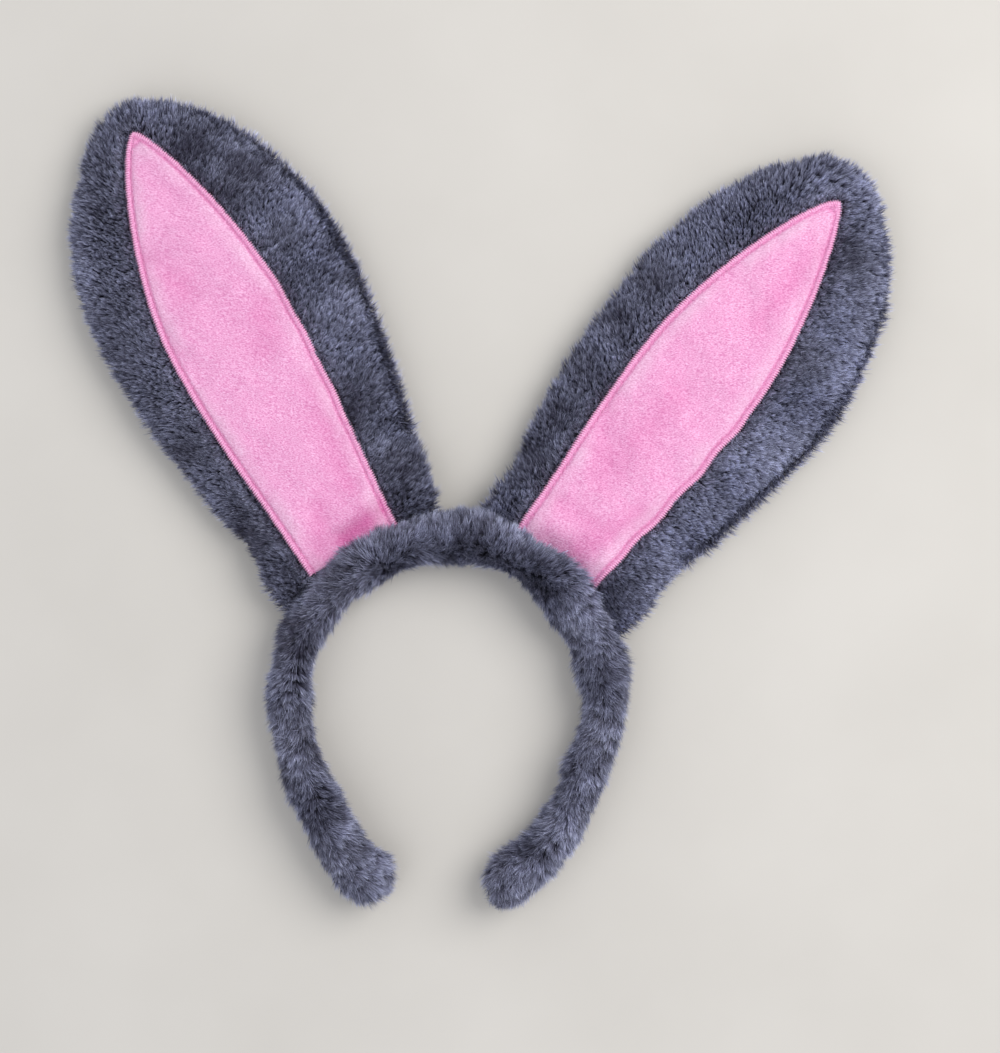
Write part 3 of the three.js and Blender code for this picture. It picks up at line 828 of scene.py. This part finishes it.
def lining_sheet(name, ear):
    """A top that follows the smoothed cushion, with waves, a rounded hem and a groove inside it, an underside
    and a rim. Returned with its flat width and length and its flat area."""
    x, y, edge = lining_grid(ear)
    tree = BVHTree.FromObject(ear["cushion"], bpy.context.evaluated_depsgraph_get())
    lie = smooth_grid(heights_on(ear, tree, x, y), 14)
    local = np.stack([x.ravel(), y.ravel()], -1) / MM
    wave = (0.35 * ripple(local, 26, 21 + ear["side"]) + 0.14 * ripple(local, 9, 31 + ear["side"])).reshape(x.shape)
    lie = lie + LINING_RISE + wave * MM * smoothstep(0, 8 * MM, edge)
    lie = lie - MM * (1 - smoothstep(0, 9 * MM, edge)) ** 2
    groove = np.exp(-(((edge - HEM) / (0.5 * MM)) ** 2))
    hem = smoothstep(0, 0.9 * MM, edge) * (1 - smoothstep(HEM - 0.7 * MM, HEM, edge))
    lie = lie - GROOVE_DEPTH * groove + HEM_RISE * hem - 0.5 * MM * (1 - smoothstep(0, 0.8 * MM, edge))
    rows, columns = x.shape
    top = to_row(ear, np.stack([x.ravel(), y.ravel(), lie.ravel()], -1))
    under = top - np.array([0, 0, CLOTH])
    faces = grid_faces(rows, columns)
    count = rows * columns
    rim = np.concatenate([
        np.arange(columns), np.arange(2 * columns - 1, count, columns),
        np.arange(count - 2, count - columns - 1, -1), np.arange(count - 2 * columns, 0, -columns),
    ])
    after = np.roll(rim, -1)
    wall = np.stack([rim, rim + count, after + count, after], -1)
    faces = np.vstack([faces, faces[:, ::-1] + count, wall])
    made = mesh_piece(f"{name}_ear_lining_velour", np.vstack([top, under]), faces)
    # Painted shade: folds, the hem and its groove get a deeper pink.
    shade_share = sum(-valley(x, y, *fold) / MM for fold in FOLDS[name]) / 3.4
    shade_share = np.maximum(shade_share, 0.42 * (1 - smoothstep(0.4 * MM, HEM + 0.4 * MM, edge)) + 0.35 * groove)
    # Painted sheen: a band a few millimetres inside the hem is made paler.
    beside_hem = smoothstep(2.8 * MM, 4 * MM, edge) * (1 - smoothstep(4.5 * MM, 11 * MM, edge))
    pale = beside_hem * smoothstep(-0.5, 1.5, 0.6 + wave)
    for label, values in (("crease", shade_share), ("paleness", pale)):
        attribute = made.data.attributes.new(label, "FLOAT", "POINT")
        attribute.data.foreach_set("value", np.tile(np.clip(values, 0, 1).ravel(), 2).astype(np.float32))
    made.data.materials.append(lining_finish(NAP_TURN[name]))
    ear["grid"] = x, y, lie
    area = float(((x[1:, -1] - x[1:, 0] + x[:-1, -1] - x[:-1, 0]) / 2 * np.diff(y[:, 0])).sum())
    width = float((x[:, -1] - x[:, 0]).max())
    return made, (width, float(y[-1, 0] - y[0, 0])), area


for name, ear in EARS.items():
    ear["velour"], ear["flat"], ear["area"] = lining_sheet(name, ear)
    print("cut", [round(size / MM) for size in ear["flat"]], "mm,", round(ear["area"] / MM**2), "mm2")

# %% [markdown]
# ## Fur, strand by strand
#
# Plush fur can be hair particles, but those are lost when the model leaves Blender, so here every strand
# is real geometry: a thin diamond of two triangles, bent once at its middle. Strands sprout evenly over a
# skin. Those near each other lean to one shared point, and that makes the tufts.


# %% Sowing and tufts
PER_MM2 = {"front": 15.0, "back": 4.8, "band": 17.0}  # strands to a square millimetre of skin
TABLE_GAP = 0.25 * MM  # no strand goes nearer to the table


def sow(skin, per_mm2, seed):
    """Random roots on a skin. A triangle gets roots in proportion to its area, at random weights of its
    three corners, and the root's up direction is the same mix of the corners' normals."""
    points, normals, triangles = arrays_of(skin)
    corners = points[triangles]
    areas = np.linalg.norm(np.cross(corners[:, 1] - corners[:, 0], corners[:, 2] - corners[:, 0]), axis=1) / 2
    random = np.random.default_rng(seed)
    count = int(areas.sum() / MM**2 * per_mm2)
    chosen = random.choice(len(areas), count, p=areas / areas.sum())
    a, b = random.random((2, count, 1))
    past = a + b > 1
    a, b = np.where(past, 1 - a, a), np.where(past, 1 - b, b)
    weights = (1 - a - b, a, b)
    roots = sum(weight * corners[chosen, corner] for corner, weight in enumerate(weights))
    ups = unit(sum(weight * normals[triangles[chosen, corner]] for corner, weight in enumerate(weights)))
    return roots, ups


def hashed(cells, salt):
    """A random number from 0 to 1 for each whole-number triple, by mixing the bits of the three."""
    with np.errstate(over="ignore"):
        whole = cells.astype(np.int64).astype(np.uint64)
        mixed = whole[:, 0] * np.uint64(0x9E3779B97F4A7C15) + whole[:, 1] * np.uint64(0xC2B2AE3D27D4EB4F)
        mixed = mixed + whole[:, 2] * np.uint64(0x165667B19E3779F9) + np.uint64(salt * 7919 + 17)
        mixed = (mixed ^ (mixed >> np.uint64(31))) * np.uint64(0xBF58476D1CE4E5B9)
        mixed = (mixed ^ (mixed >> np.uint64(29))) * np.uint64(0x94D049BB133111EB)
    return (mixed >> np.uint64(11)).astype(float) / 2**53


def tufts(places, size, seed):
    """Gathers places into tufts. Space is cut into cubes, a cube holds one random centre, and a place goes
    to its nearest centre. Returns each place's centre and three random numbers of its tuft."""
    cells = np.floor(places / size).astype(np.int64)
    nearest = np.full(len(places), np.inf)
    centres, numbers = np.zeros_like(places), np.zeros_like(places)
    for step in np.ndindex(3, 3, 3):
        near = cells + np.array(step) - 1
        spot = (near + np.stack([hashed(near, seed + axis) for axis in range(3)], -1)) * size
        gap = ((places - spot) ** 2).sum(1)
        closer = gap < nearest
        nearest[closer], centres[closer] = gap[closer], spot[closer]
        numbers[closer] = np.stack([hashed(near[closer], seed + 3 + axis) for axis in range(3)], -1)
    return centres, numbers


# %% [markdown]
# A strand rises along its lean from the surface's up direction towards its comb direction, and bends over
# more in its upper half. Its tip is pulled to the tip of the tuft's middle, so a tuft ends in a point, and
# its shade is its tuft's, with a little of its own.


# %% Growing
def grow(name, roots, ups, comb, length, lean, shade, seed, tuft, gather, width, wild=0.5, allowed=None):
    """Strands from roots in metres. comb is a direction per root, length is in mm and lean in degrees, from
    the up direction. tuft is a tuft's size and width a strand's, in mm; gather is how far the tips close up
    and wild how far a tuft's own direction strays. shade is from 0, dark, to 1, pale. A strand stays only if
    allowed, a test of places, holds for its middle and its tip."""
    random = np.random.default_rng(seed)
    count = len(roots)
    centres, numbers = tufts(roots, tuft * MM, seed)
    flat = comb - ups * (comb * ups).sum(1, keepdims=True)
    strayed = unit(flat) + wild * (numbers - 0.5) * 2 + 0.25 * random.normal(size=(count, 3))
    sideways = unit(strayed - ups * (strayed * ups).sum(1, keepdims=True))
    length = length * MM * (0.68 + 0.60 * numbers[:, 1]) * random.uniform(0.78, 1.12, count)
    angle = np.radians(np.clip(lean * (0.75 + 0.5 * numbers[:, 2]) + 5 * random.normal(size=count), 2, 84))
    to_centre = centres - roots
    to_centre -= ups * (to_centre * ups).sum(1, keepdims=True)

    def reach(share, bend, pull):
        up, side = np.cos(angle * bend), np.sin(angle * bend)
        step = ups * up[:, None] + sideways * side[:, None]
        return step * (length * share)[:, None] + to_centre * (np.reshape(gather, (-1, 1)) * pull)

    middle = roots + reach(0.5, 0.7, 0.35)
    tip = middle + reach(0.5, 1.25, 0.65)
    flat_way, along = unit(np.cross(sideways, ups)), unit(tip - roots)
    spin = np.radians(random.uniform(-55, 55, count))[:, None]
    across = flat_way * np.cos(spin) + np.cross(along, flat_way) * np.sin(spin)
    across = across * (width * MM / 2 * random.uniform(0.75, 1.2, count))[:, None]
    points = np.stack([roots, middle + across, middle - across, tip], 1)
    points[..., 2] = np.maximum(points[..., 2], TABLE_GAP + 0.02 * MM * np.arange(4))
    tone = np.clip(shade + 0.20 * (numbers[:, 0] - 0.5) * 2 + 0.18 * random.normal(size=count), 0.02, 0.98)
    if allowed:
        stays = allowed(middle) & allowed(tip)
        points, tone, count = points[stays], tone[stays], int(stays.sum())
    start = 4 * np.arange(count)[:, None]
    faces = np.stack([start + [0, 1, 2], start + [2, 1, 3]], 1).reshape(-1, 3)
    made = mesh_piece(name, points.reshape(-1, 3), faces, smooth=False)
    height = np.array([0, 0.5, 0.5, 0.5, 0.5, 1.0])
    u = tone[:, None] + 0.006 * np.array([0, 1, -1, -1, 1, 0])
    uv = np.stack([u, np.broadcast_to(height, u.shape)], -1)
    layer = made.data.uv_layers.new(name="OFBake")
    layer.data.foreach_set("uv", uv.astype(np.float32).ravel())
    made.data.materials.append(FUR)
    return made


# %% [markdown]
# ## Fur on the ears
#
# The front's fur is a dense upright pile that leans a little away from the lining and towards the tip.
# None grows under the lining. The back's fur is the same plush, pressed flat by the ear's own weight. On
# the right of each ear a parting follows the seam where front and back meet. The front's fur along it, beside
# the lining and in the other partings is painted darker, as shade. The fur on each ear's right, and the whole
# right ear, is painted paler, as lit from the right.


# %% Ear fur
def nearest_on(loop, places):
    """Each place's distance to the nearest point of a loop, and the direction from there to the place. The
    nearest point b of a place a is the one with the smallest b.b - 2 a.b."""
    parts = np.array_split(places, max(1, len(places) // 20000))
    best = np.concatenate([((loop**2).sum(1)[None] - 2 * part @ loop.T).argmin(1) for part in parts])
    away = places - loop[best]
    return np.linalg.norm(away, axis=1), unit(away)


def inside_lining(ear, flat, margin):
    """Whether places in the ear's frame lie under its lining, further than a margin from the edge."""
    left, right = leaf_span(ear, ear["lining"], flat[:, 1])
    height = ear["lining"]["tip"] * MM
    return (flat[:, 0] > left + margin) & (flat[:, 0] < right - margin) & (flat[:, 1] < height - margin)


def to_direction(ear, flat):
    """Directions in the ear's frame, as directions in the object's."""
    return turned(np.column_stack([flat, np.zeros(len(flat))]), ear["turn"])


# Where the fur is parted and painted dark as shade: x, y and size in mm in the ear's frame.
PARTINGS = {
    "left": [(17, 171, 9), (27, 148, 10), (31, 120, 6), (24, 46, 10), (29, 16, 9), (-35, 18, 9), (-40, 60, 6)],
    "right": [(-35, 106, 9), (-37, 86, 8), (-38, 60, 8), (-33, 40, 8), (-30, 20, 9), (19, 163, 8), (28, 119, 10)],
}
UPPER_FROM = 95 * MM  # where the front's two pieces of fur meet


def parted(name, flat):
    """1 in the middle of each patch where the fur is parted and painted dark as shade, fading away from it."""
    x, y = flat.T / MM
    return sum(np.exp(-((x - middle) ** 2 + (y - up) ** 2) / size**2) for middle, up, size in PARTINGS[name])


def right_half(ear, flat):
    """1 on the right of the ear, where its seam shows, fading to 0 at the middle line and at the base."""
    off_spine = flat[:, 0] - spine_of(ear, flat[:, 1])
    return smoothstep(8 * MM, 20 * MM, off_spine) * smoothstep(5 * MM, 30 * MM, flat[:, 1])


def ear_front(name, ear, upper):
    """The fur of the front, above the middle of the cushion's height and outside the lining, in the ear's upper
    or lower part. Near the lining it leans away from it and is painted darker as shade, and in a parting it lies
    flatter and is painted dark as shade."""
    roots, ups = sow(ear["cushion"], PER_MM2["front"], 101 + ear["side"])
    flat = to_ear(ear, roots)[:, :2]
    on_right = right_half(ear, flat)
    keep = (ups[:, 2] > -0.25 + 0.65 * on_right) & ~inside_lining(ear, flat, 0.7 * MM)
    keep &= (flat[:, 1] > UPPER_FROM) == upper
    roots, ups, flat, on_right = roots[keep], ups[keep], flat[keep], on_right[keep]
    gap, away = nearest_on(leaf_loop(ear, ear["lining"], 500), flat)
    rim = on_right * (1 - smoothstep(3 * MM, 9 * MM, nearest_on(skin_outline(ear, 700), flat)[0]))
    near_pink = 1 - smoothstep(0.5 * MM, 4.5 * MM, gap)
    to_side = np.tanh((flat[:, 0] - spine_of(ear, flat[:, 1])) / (25 * MM))
    slow, quick = ripple(flat / MM, 45, 5), ripple(flat / MM, 20, 6)
    comb = np.column_stack([0.7 * to_side + 0.3 + 0.15 * slow, 0.5 + 0.15 * quick])
    comb = comb * (1 - 0.5 * near_pink[:, None]) * (1 - 1.3 * rim[:, None]) + away * (0.8 * near_pink[:, None])
    dark = np.clip(parted(name, flat), 0, 1)
    lean = 19 + 6 * near_pink + 5 * slow + 12 * on_right * (1 - rim) + 20 * dark
    length = 5.4 - 1.2 * near_pink + 0.25 * ripple(flat / MM, 30, 8)
    # Painted light and shade: the right ear is painted paler than the left, as lit from the right. Partings, the fur
    # beside the lining and the fur along the seam on the right are painted darker, as shade, and the fur on the right
    # half is painted paler, as lit from the right.
    shade = 0.515 + 0.055 * ear["side"] + 0.05 * ripple(flat / MM, 34, 9) + 0.04 * ripple(flat / MM, 12, 10)
    shade = shade - 0.42 * dark - 0.10 * near_pink + 0.10 * smoothstep(0.3, 1, to_side) * on_right - 0.13 * rim**3
    return grow(
        f"{name}_ear_front_fur_{'upper' if upper else 'lower'}", roots, ups, to_direction(ear, comb), length,
        np.clip(lean, 6, 65), shade, 201 + ear["side"] + 10 * upper,
        tuft=1.1, gather=0.3 + 0.48 * smoothstep(-0.1, 0.7, ups[:, 2]), width=0.23,
        allowed=lambda places: ~inside_lining(ear, to_ear(ear, places)[:, :2], 0.3 * MM),
    )


def ear_back(name, ear):
    """The fur of the back, below the middle of the cushion's height. It is combed outwards, towards the tip."""
    roots, ups = sow(ear["cushion"], PER_MM2["back"], 301 + ear["side"])
    flat = to_ear(ear, roots)[:, :2]
    on_right = right_half(ear, flat)
    keep = ups[:, 2] < -0.05 + 0.38 * on_right
    roots, ups, flat, on_right = roots[keep], ups[keep], flat[keep], on_right[keep]
    to_side = np.tanh(flat[:, 0] / (25 * MM))
    comb = np.column_stack([0.8 * to_side, np.full(len(flat), 0.6)]) + 0.3 * ripple(flat / MM, 24, 15)[:, None]
    # Painted light: the right half of the back's fur, which shows past the seam, is painted paler, as lit from the
    # right.
    shade = 0.54 + 0.05 * ripple(flat / MM, 22, 16) + 0.10 * on_right
    return grow(
        f"{name}_ear_back_fur", roots, ups, to_direction(ear, comb), 6.0, 34 - 8 * on_right, shade,
        401 + ear["side"], tuft=1.2, gather=0.45, width=0.32,
    )


for name, ear in EARS.items():
    ear["front"] = [ear_front(name, ear, False), ear_front(name, ear, True)]
    ear["back"] = ear_back(name, ear)

# %% [markdown]
# ## Fur on the band
#
# The band's fur is longer. It lies in locks of changing direction, because the cover was pulled on over
# its padding and never brushed. At the crown it stands outwards, and along the arms it follows them.


# %% Band fur
ARM_FROM = math.radians(78)  # round the band, where a side's two pieces of fur meet


def band_fur(side, name, tip_half):
    """The fur of one side's half next to the crown, or of the half next to its tip."""
    roots, ups = sow(band_skins[name], PER_MM2["band"], 500 + side)
    angle = np.arctan2(side * (roots[:, 0] - BAND_CENTRE[0]), roots[:, 1] - BAND_CENTRE[1])
    keep = (angle > ARM_FROM) == tip_half
    roots, ups, angle = roots[keep], ups[keep], angle[keep]
    _, outward, heading = band_line(side * np.abs(angle) * BAND_RADIUS)
    where = roots / MM
    crown = 1 - smoothstep(0.2, 1.1, np.abs(angle))
    first, second = ripple(where, 48, 31), ripple(where, 26, 32)
    comb = heading * (0.9 - 0.75 * crown + 0.35 * first)[:, None]
    comb = comb + outward * (0.3 + 0.5 * crown + 0.4 * second)[:, None]
    length = 7.2 + 0.35 * ripple(where, 22, 33)
    lean = np.clip(47 + 7 * ripple(where, 30, 34), 18, 64)
    # Painted shade: slow random valleys darken the fur, as the shade in dips between locks.
    valley_shade = np.clip(ripple(where * np.array([1, 1, 2.0]), 30, 37) - 0.9, 0, 1)
    shade = 0.445 + 0.05 * ripple(where, 30, 35) + 0.05 * ripple(where, 9, 36) - 0.28 * valley_shade
    return grow(
        f"{name}_band_fur_{'arm' if tip_half else 'crown'}", roots, ups, comb, length, lean, shade,
        600 + side + 10 * tip_half, tuft=1.4, gather=0.72, width=0.24, wild=0.4,
    )


band_furs = {name: [band_fur(side, name, half) for half in (False, True)] for name, side in SIDES.items()}

# %% [markdown]
# ## Stitches
#
# The lining's edge is overlocked: thread wraps it with a tight row of loops, about ten to the
# centimetre. A loop is one small arch with a square section, placed and turned along the edge. Inside the
# loops a topstitch sits in the groove it makes, as short dashes.


# %% Stitches
UP = np.array([0, 0, 1.0])
OVERLOCK_PITCH, OVERLOCK_RADIUS = 1.0 * MM, 0.36 * MM
TOPSTITCH_PITCH, TOPSTITCH_RADIUS = 2.6 * MM, 0.2 * MM


def arches(name, inner, outer, ups, radius, rise, finish, steps=5):
    """One small arch per row of points, from inner to outer. A point of the arch's line is a mix of both
    ends, lifted by the rise times a half wave of sine, and four corners surround it at the radius."""
    count = len(inner)
    share = np.linspace(0, 1, steps)[None, :, None]
    line = inner[:, None] + (outer - inner)[:, None] * share + ups[:, None] * (rise * np.sin(np.pi * share))
    heading = unit(np.gradient(line, axis=1))
    side = unit(np.cross(heading, ups[:, None]))
    over = unit(np.cross(side, heading))
    corners = [(1, 0), (0, 1), (-1, 0), (0, -1)]
    taper = radius * np.sqrt(np.sin(np.pi * (0.12 + 0.76 * share)))
    points = np.stack([line + taper * (a * side + b * over) for a, b in corners], 2).reshape(-1, 3)
    ring = grid_faces(steps, 4, closed=True)
    caps = np.array([[3, 2, 1, 0], [4 * steps - 4, 4 * steps - 3, 4 * steps - 2, 4 * steps - 1]])
    faces = (np.vstack([ring, caps])[None] + 4 * steps * np.arange(count)[:, None, None]).reshape(-1, 4)
    made = mesh_piece(name, points, faces)
    made.data.materials.append(finish)
    return made


def steps_along(line, pitch):
    """How many times a pitch fits into a line's length."""
    return int(np.linalg.norm(np.diff(line, axis=0), axis=1).sum() / pitch)


def on_lining(ear, distance, pitch):
    """Points on the lining at a distance inside its edge, a pitch apart, with their directions inwards and along
    the edge."""
    loop = leaf_loop(ear, ear["lining"], 1200)
    line = spread_evenly(loop, steps_along(loop, pitch))
    tangent, inward = inward_of(line)
    return line + inward * distance, inward, tangent


def lining_height(ear, flat):
    """The lining's height at points in the ear's frame: a mean of the four nearest points of its grid, the
    closer ones weighing more."""
    x, y, lie = ear["grid"]
    tree = KDTree(x.size)
    for index, place in enumerate(zip(x.ravel(), y.ravel())):
        tree.insert((*place, 0), index)
    tree.balance()
    near = [tree.find_n((*place, 0), 4) for place in flat]
    weights = np.array([[1 / (found[2] + 0.05 * MM) for found in group] for group in near])
    heights = lie.ravel()[np.array([[found[1] for found in group] for group in near])]
    return (weights * heights).sum(1) / weights.sum(1)


def ear_stitches(name, ear):
    """The overlocked edge, whose loops wrap the hem and slant a little, and the topstitch inside it."""
    inner, inward, tangent = on_lining(ear, HEM - 0.9 * MM, OVERLOCK_PITCH)
    slant = tangent * 0.2 * MM
    outer = inner - inward * (HEM - 0.40 * MM)
    low = lining_height(ear, inner)
    high = lining_height(ear, inner - inward * 1.5 * MM)
    ends = [np.column_stack([inner - slant, low - 0.05 * MM]), np.column_stack([outer + slant, high - 0.5 * MM])]
    ends = [to_row(ear, places) for places in ends]
    ups = np.tile(UP, (len(inner), 1))
    overlock = arches(f"{name}_ear_overlock", *ends, ups, OVERLOCK_RADIUS, 0.55 * MM, PINK_THREAD, steps=6)
    middle, _, heading = on_lining(ear, HEM + 0.1 * MM, TOPSTITCH_PITCH)
    level = lining_height(ear, middle) + 0.05 * MM
    ends = [to_row(ear, np.column_stack([middle + sign * heading * 0.95 * MM, level])) for sign in (-1, 1)]
    ups = ups[: len(middle)]
    return overlock, arches(f"{name}_ear_topstitch", *ends, ups, TOPSTITCH_RADIUS, 0.15 * MM, GROOVE_THREAD)


for name, ear in EARS.items():
    ear["stitches"] = ear_stitches(name, ear)

# %% [markdown]
# ## Seams in the fur
#
# The seam round an ear and the seam that closes the band's cover are sunk in the fur. Each is a row of
# small slanted whip stitches in dark thread along its line.


# %% Hidden seams
def whip_stitches(name, line, across, ups, pitch, half, radius):
    """Slanted stitches a pitch apart along a line, each reaching half its width to either side."""
    rows = spread_evenly(np.hstack([line, across, ups]), steps_along(line, pitch))
    place, side, up = rows[:, :3], unit(rows[:, 3:6]), unit(rows[:, 6:])
    slant = unit(np.gradient(place, axis=0)) * pitch * 0.3
    return arches(name, place - side * half - slant, place + side * half + slant, up, radius, 0.5 * MM, DARK_THREAD)


def ear_seams(name, ear):
    """The seam along the ear's outline, from one side of its base round to the other, and the row of stitches
    that holds its base on the band."""
    loop = skin_outline(ear, 300)
    edge = loop[loop[:, 1] > 2 * MM]
    edge = np.roll(edge, -int(np.argmax(np.linalg.norm(np.roll(edge, -1, 0) - edge, axis=1))) - 1, axis=0)
    line = to_row(ear, np.column_stack([edge, middle_height(edge[:, 1])]))
    outward = unit(np.cross(np.gradient(line, axis=0), UP))
    upright = np.tile(UP, (len(line), 1))
    seam = whip_stitches(f"{name}_ear_seam", line, upright, outward, 2.2 * MM, 1.0 * MM, 0.3 * MM)
    x = np.linspace(-30, 30, 60) * MM
    base = to_row(ear, np.column_stack([x, sewn_height(ear, x, SEWN_RADIUS), 0 * x + 16 * MM]))
    away, upright = np.tile(ear["outward"], (len(x), 1)), upright[: len(x)]
    return seam, whip_stitches(f"{name}_ear_base_whipstitch", base, away, upright, 3.0 * MM, 2.0 * MM, 0.35 * MM)


def band_seam(side, name):
    """The closing seam, low on the inside of the band's skin."""
    place, outward, _ = band_line(side * np.linspace(1 * MM, BAND_HALF - 10 * MM, 200))
    line = place - outward * SKIN_HALF_WIDTH * 0.86 - UP * SKIN_HALF_HEIGHT * 0.55
    out = unit(-outward * 0.9 - UP * 0.45)
    across = unit(outward * 0.45 + UP * 0.9)
    return whip_stitches(f"{name}_closing_seam", line, across, out, 2.6 * MM, 1.3 * MM, 0.3 * MM)


for name, ear in EARS.items():
    ear["seams"] = ear_seams(name, ear)
band_seams = {name: band_seam(side, name) for name, side in SIDES.items()}

# %% [markdown]
# ## The hard parts inside
#
# The spring strip and the two stiffeners keep their CAD shapes. The strip is milky plastic with faint
# drawing lines along it, and the stiffeners are pressed grey felt.


# %% Finishes of the parts inside
STRIP_TONES = (0.62, 0.63, 0.62), (0.74, 0.75, 0.73)
FELT_TONES = (0.16, 0.16, 0.18), (0.28, 0.28, 0.30)
STRIP = grained("milky spring plastic", STRIP_TONES, 300.0, 0.38, (0.2, 0.1 * MM), stretch=(1, 1, 12))
FELT = grained("grey pressed felt", FELT_TONES, 700.0, 0.95, (0.6, 0.2 * MM), detail=4.0, fine=0.7)
for node, made in frame["nodes"].items():
    finish = STRIP if node.startswith("spring_strip") else FELT
    if not made.data.materials:
        made.data.materials.append(finish)
    for index in range(len(made.data.materials)):
        made.data.materials[index] = finish
print("CAD nodes:", len(frame["nodes"]))

# %% [markdown]
# ## The CAD parts that the soft pieces replace
#
# The band bends at the two flex lines, and each ear lifts about the line where it is sewn on. Here each soft
# piece has its transform baked into its mesh, and the CAD parts that it stands for are hidden.


def crosses_flex(piece, side, name, slot, *nodes):
    """Bakes the transform of a piece of the band into its mesh and hides the CAD parts that it replaces."""
    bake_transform(piece)
    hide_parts(*nodes)


def lifts(piece, name, ear, slot, *nodes):
    """Bakes the transform of a piece of an ear into its mesh and hides the CAD parts that it replaces, if any."""
    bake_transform(piece)
    if nodes:
        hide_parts(*nodes)


for name, side in SIDES.items():
    shared = ["crown"] if name == "left" else []
    for piece, slot, node in (
        (band_furs[name][0], "fur_plush", "cover"),
        (band_skins[name], "padding_foam", "padding"),
        (band_seams[name], "fur_thread", "closing_seam"),
    ):
        crosses_flex(piece, side, name, slot, *[f"{node}_{part}" for part in [name, *shared]])
    crosses_flex(band_furs[name][1], side, name, "fur_plush", f"cover_{name}")

for name, ear in EARS.items():
    overlock, topstitch = ear["stitches"]
    seam, sewn = ear["seams"]
    lifts(ear["cushion"], name, ear, "wadding_fibre", f"{name}_ear_wadding")
    lifts(ear["front"][0], name, ear, "fur_plush", f"{name}_ear_front")
    lifts(ear["front"][1], name, ear, "fur_plush")
    lifts(ear["back"], name, ear, "fur_plush", f"{name}_ear_back")
    lifts(ear["velour"], name, ear, "lining_velour", f"{name}_ear_lining")
    lifts(overlock, name, ear, "lining_thread", f"{name}_ear_lining_edge")
    lifts(topstitch, name, ear, "lining_thread")
    lifts(seam, name, ear, "fur_thread", f"{name}_ear_edge_seam")
    lifts(sewn, name, ear, "fur_thread", f"{name}_ear_base_stitching")
